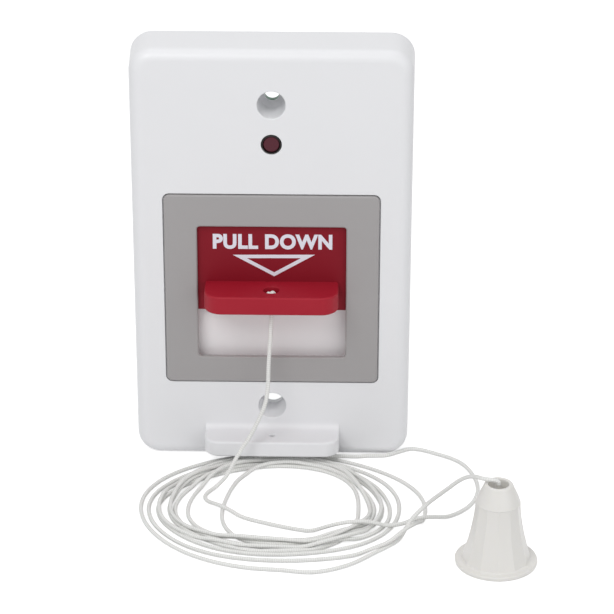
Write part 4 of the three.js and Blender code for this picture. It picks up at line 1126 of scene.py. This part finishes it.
def flute(obj, count, low, high):
    """Flattens the round body into equal sides between two heights."""
    share = math.pi / count
    centre = place(BELL_X, BELL_DEEP, 0)
    for vertex in obj.data.vertices:
        height = vertex.co.z / MM
        if low <= height <= high:
            offset = vertex.co - centre
            angle = math.atan2(offset.y, offset.x) % (2 * share) - share
            soft = abs(angle) / share
            flat = math.cos(share) / math.cos(angle)
            factor = flat + (1 - flat) * 0.25 * soft ** 6
            vertex.co.x = centre.x + offset.x * factor
            vertex.co.y = centre.y + offset.y * factor


class ALARM_OT_bell(bpy.types.Operator):
    """Models the fluted bell pull"""
    bl_idname = "alarm.bell"
    bl_label = "Bell Pull"

    def execute(self, context):
        settings = context.scene.alarm_bell
        sides = settings.flutes * 10
        body = bell_profile()
        profile = [(9.8, 0), (10.05, 0.12), (10.1, 0.35), (10.1, 0.8), (10.0, 1.0), (9.8, 1.1), (8.9, 1.12), (8.55, 1.2)]
        profile += body + [(5.5, 16.7), (5.38, 17.0), (4.95, 18.2), (4.35, 19.5), (3.75, 20.8), (3.6, 21.2),
                           (3.45, 21.45), (3.2, 21.6)]
        bell = turned("bell", BELL_X, BELL_DEEP, 0, profile, "Z", sides)
        flute(bell, settings.flutes, 1.3, 16.55)
        inside = [(7.25, -1), (7.2, 0)] + [(radius - 1.3, height) for radius, height in body if height < 15.1]
        cavity = turned("cavity", BELL_X, BELL_DEEP, 0, inside + [(4.2, 15.2), (3.0, 16.3)], "Z")
        mouth = turned("mouth", BELL_X, BELL_DEEP, 0, [(2.5, 17.6), (2.5, 21.3), (2.6, 21.5), (2.85, 21.6), (2.85, 23)],
                       "Z")
        hole = turned("hole", BELL_X, BELL_DEEP, 0, [(0.85, 15), (0.85, 19)], "Z", 32)
        cut(bell, cavity, mouth, hole)
        smooth(bell, 24)
        material = plastic("pull_plastic", settings.color, 0.3, shade=0.04, bump=0.003,
                           **{"Subsurface Weight": 0.15, "Subsurface Radius": (2 * MM, 2 * MM, 1.6 * MM)})
        seat(bell, "station", "pull", material, "bell_pull")
        return {"FINISHED"}


# CAD pieces that stay

class ALARM_OT_inside(bpy.types.Operator):
    """Gives the pieces behind the cover their materials"""
    bl_idname = "alarm.inside"
    bl_label = "Inside"

    def execute(self, context):
        steel = metal("steel", tone(200, 201, 203), 0.28)
        brass = metal("brass", tone(206, 172, 98), 0.3)
        looks = {
            "track": plastic("track_plastic", tone(246, 243, 244), 0.42, shade=0.04, bump=0.005),
            "detent_spring": steel,
            "circuit_board": plastic("board_lacquer", tone(34, 122, 86), 0.35, shade=0.25, grain=1800, bump=0.01),
            "reed_switch": plastic("reed_glass", tone(165, 186, 165), 0.08, shade=0.2),
            "resistor": plastic("resistor_lacquer", tone(205, 181, 138), 0.4, shade=0.15),
            "diode": plastic("diode_resin", tone(30, 30, 33), 0.35, shade=0.2),
            "magnet": metal("magnet", tone(70, 70, 74), 0.45),
        }
        for number in (1, 2, 3):
            looks[f"wire_post_{number}"] = brass
        for number in (1, 2, 3, 4):
            looks[f"track_screw_{number}"] = steel
            looks[f"board_screw_{number}"] = steel
        for name, material in looks.items():
            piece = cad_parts[name]
            piece.data.materials.clear()
            piece.data.materials.append(material)
        return {"FINISHED"}


class ALARM_PT_panel(bpy.types.Panel):
    """Lists the steps that build the alarm"""
    bl_label = "Pull Cord Alarm"
    bl_idname = "ALARM_PT_panel"
    bl_space_type = "VIEW_3D"
    bl_region_type = "UI"
    bl_category = "Alarm"

    def draw(self, context):
        for step in STEPS:
            self.layout.operator(step.bl_idname)
        for name in SETTINGS:
            box = self.layout.box()
            box.label(text=name.replace("alarm_", "").title())
            settings = getattr(context.scene, name)
            for key in settings.__annotations__:
                box.prop(settings, key)


STEPS = (ALARM_OT_stage, ALARM_OT_bell, ALARM_OT_cord, ALARM_OT_cover, ALARM_OT_bezel, ALARM_OT_slide,
         ALARM_OT_lamp, ALARM_OT_inside)


def register():
    for name, group in SETTINGS.items():
        bpy.utils.register_class(group)
        setattr(bpy.types.Scene, name, PointerProperty(type=group))
    for step in STEPS:
        bpy.utils.register_class(step)
    bpy.utils.register_class(ALARM_PT_panel)


def unregister():
    bpy.utils.unregister_class(ALARM_PT_panel)
    for step in reversed(STEPS):
        bpy.utils.unregister_class(step)
    for name, group in SETTINGS.items():
        delattr(bpy.types.Scene, name)
        bpy.utils.unregister_class(group)


def main():
    register()
    bpy.ops.alarm.stage()
    bpy.ops.alarm.bell()
    bpy.ops.alarm.cord()
    bpy.ops.alarm.cover()
    bpy.ops.alarm.bezel()
    bpy.ops.alarm.slide()
    bpy.ops.alarm.lamp()
    bpy.ops.alarm.inside()


if __name__ == "__main__":
    main()
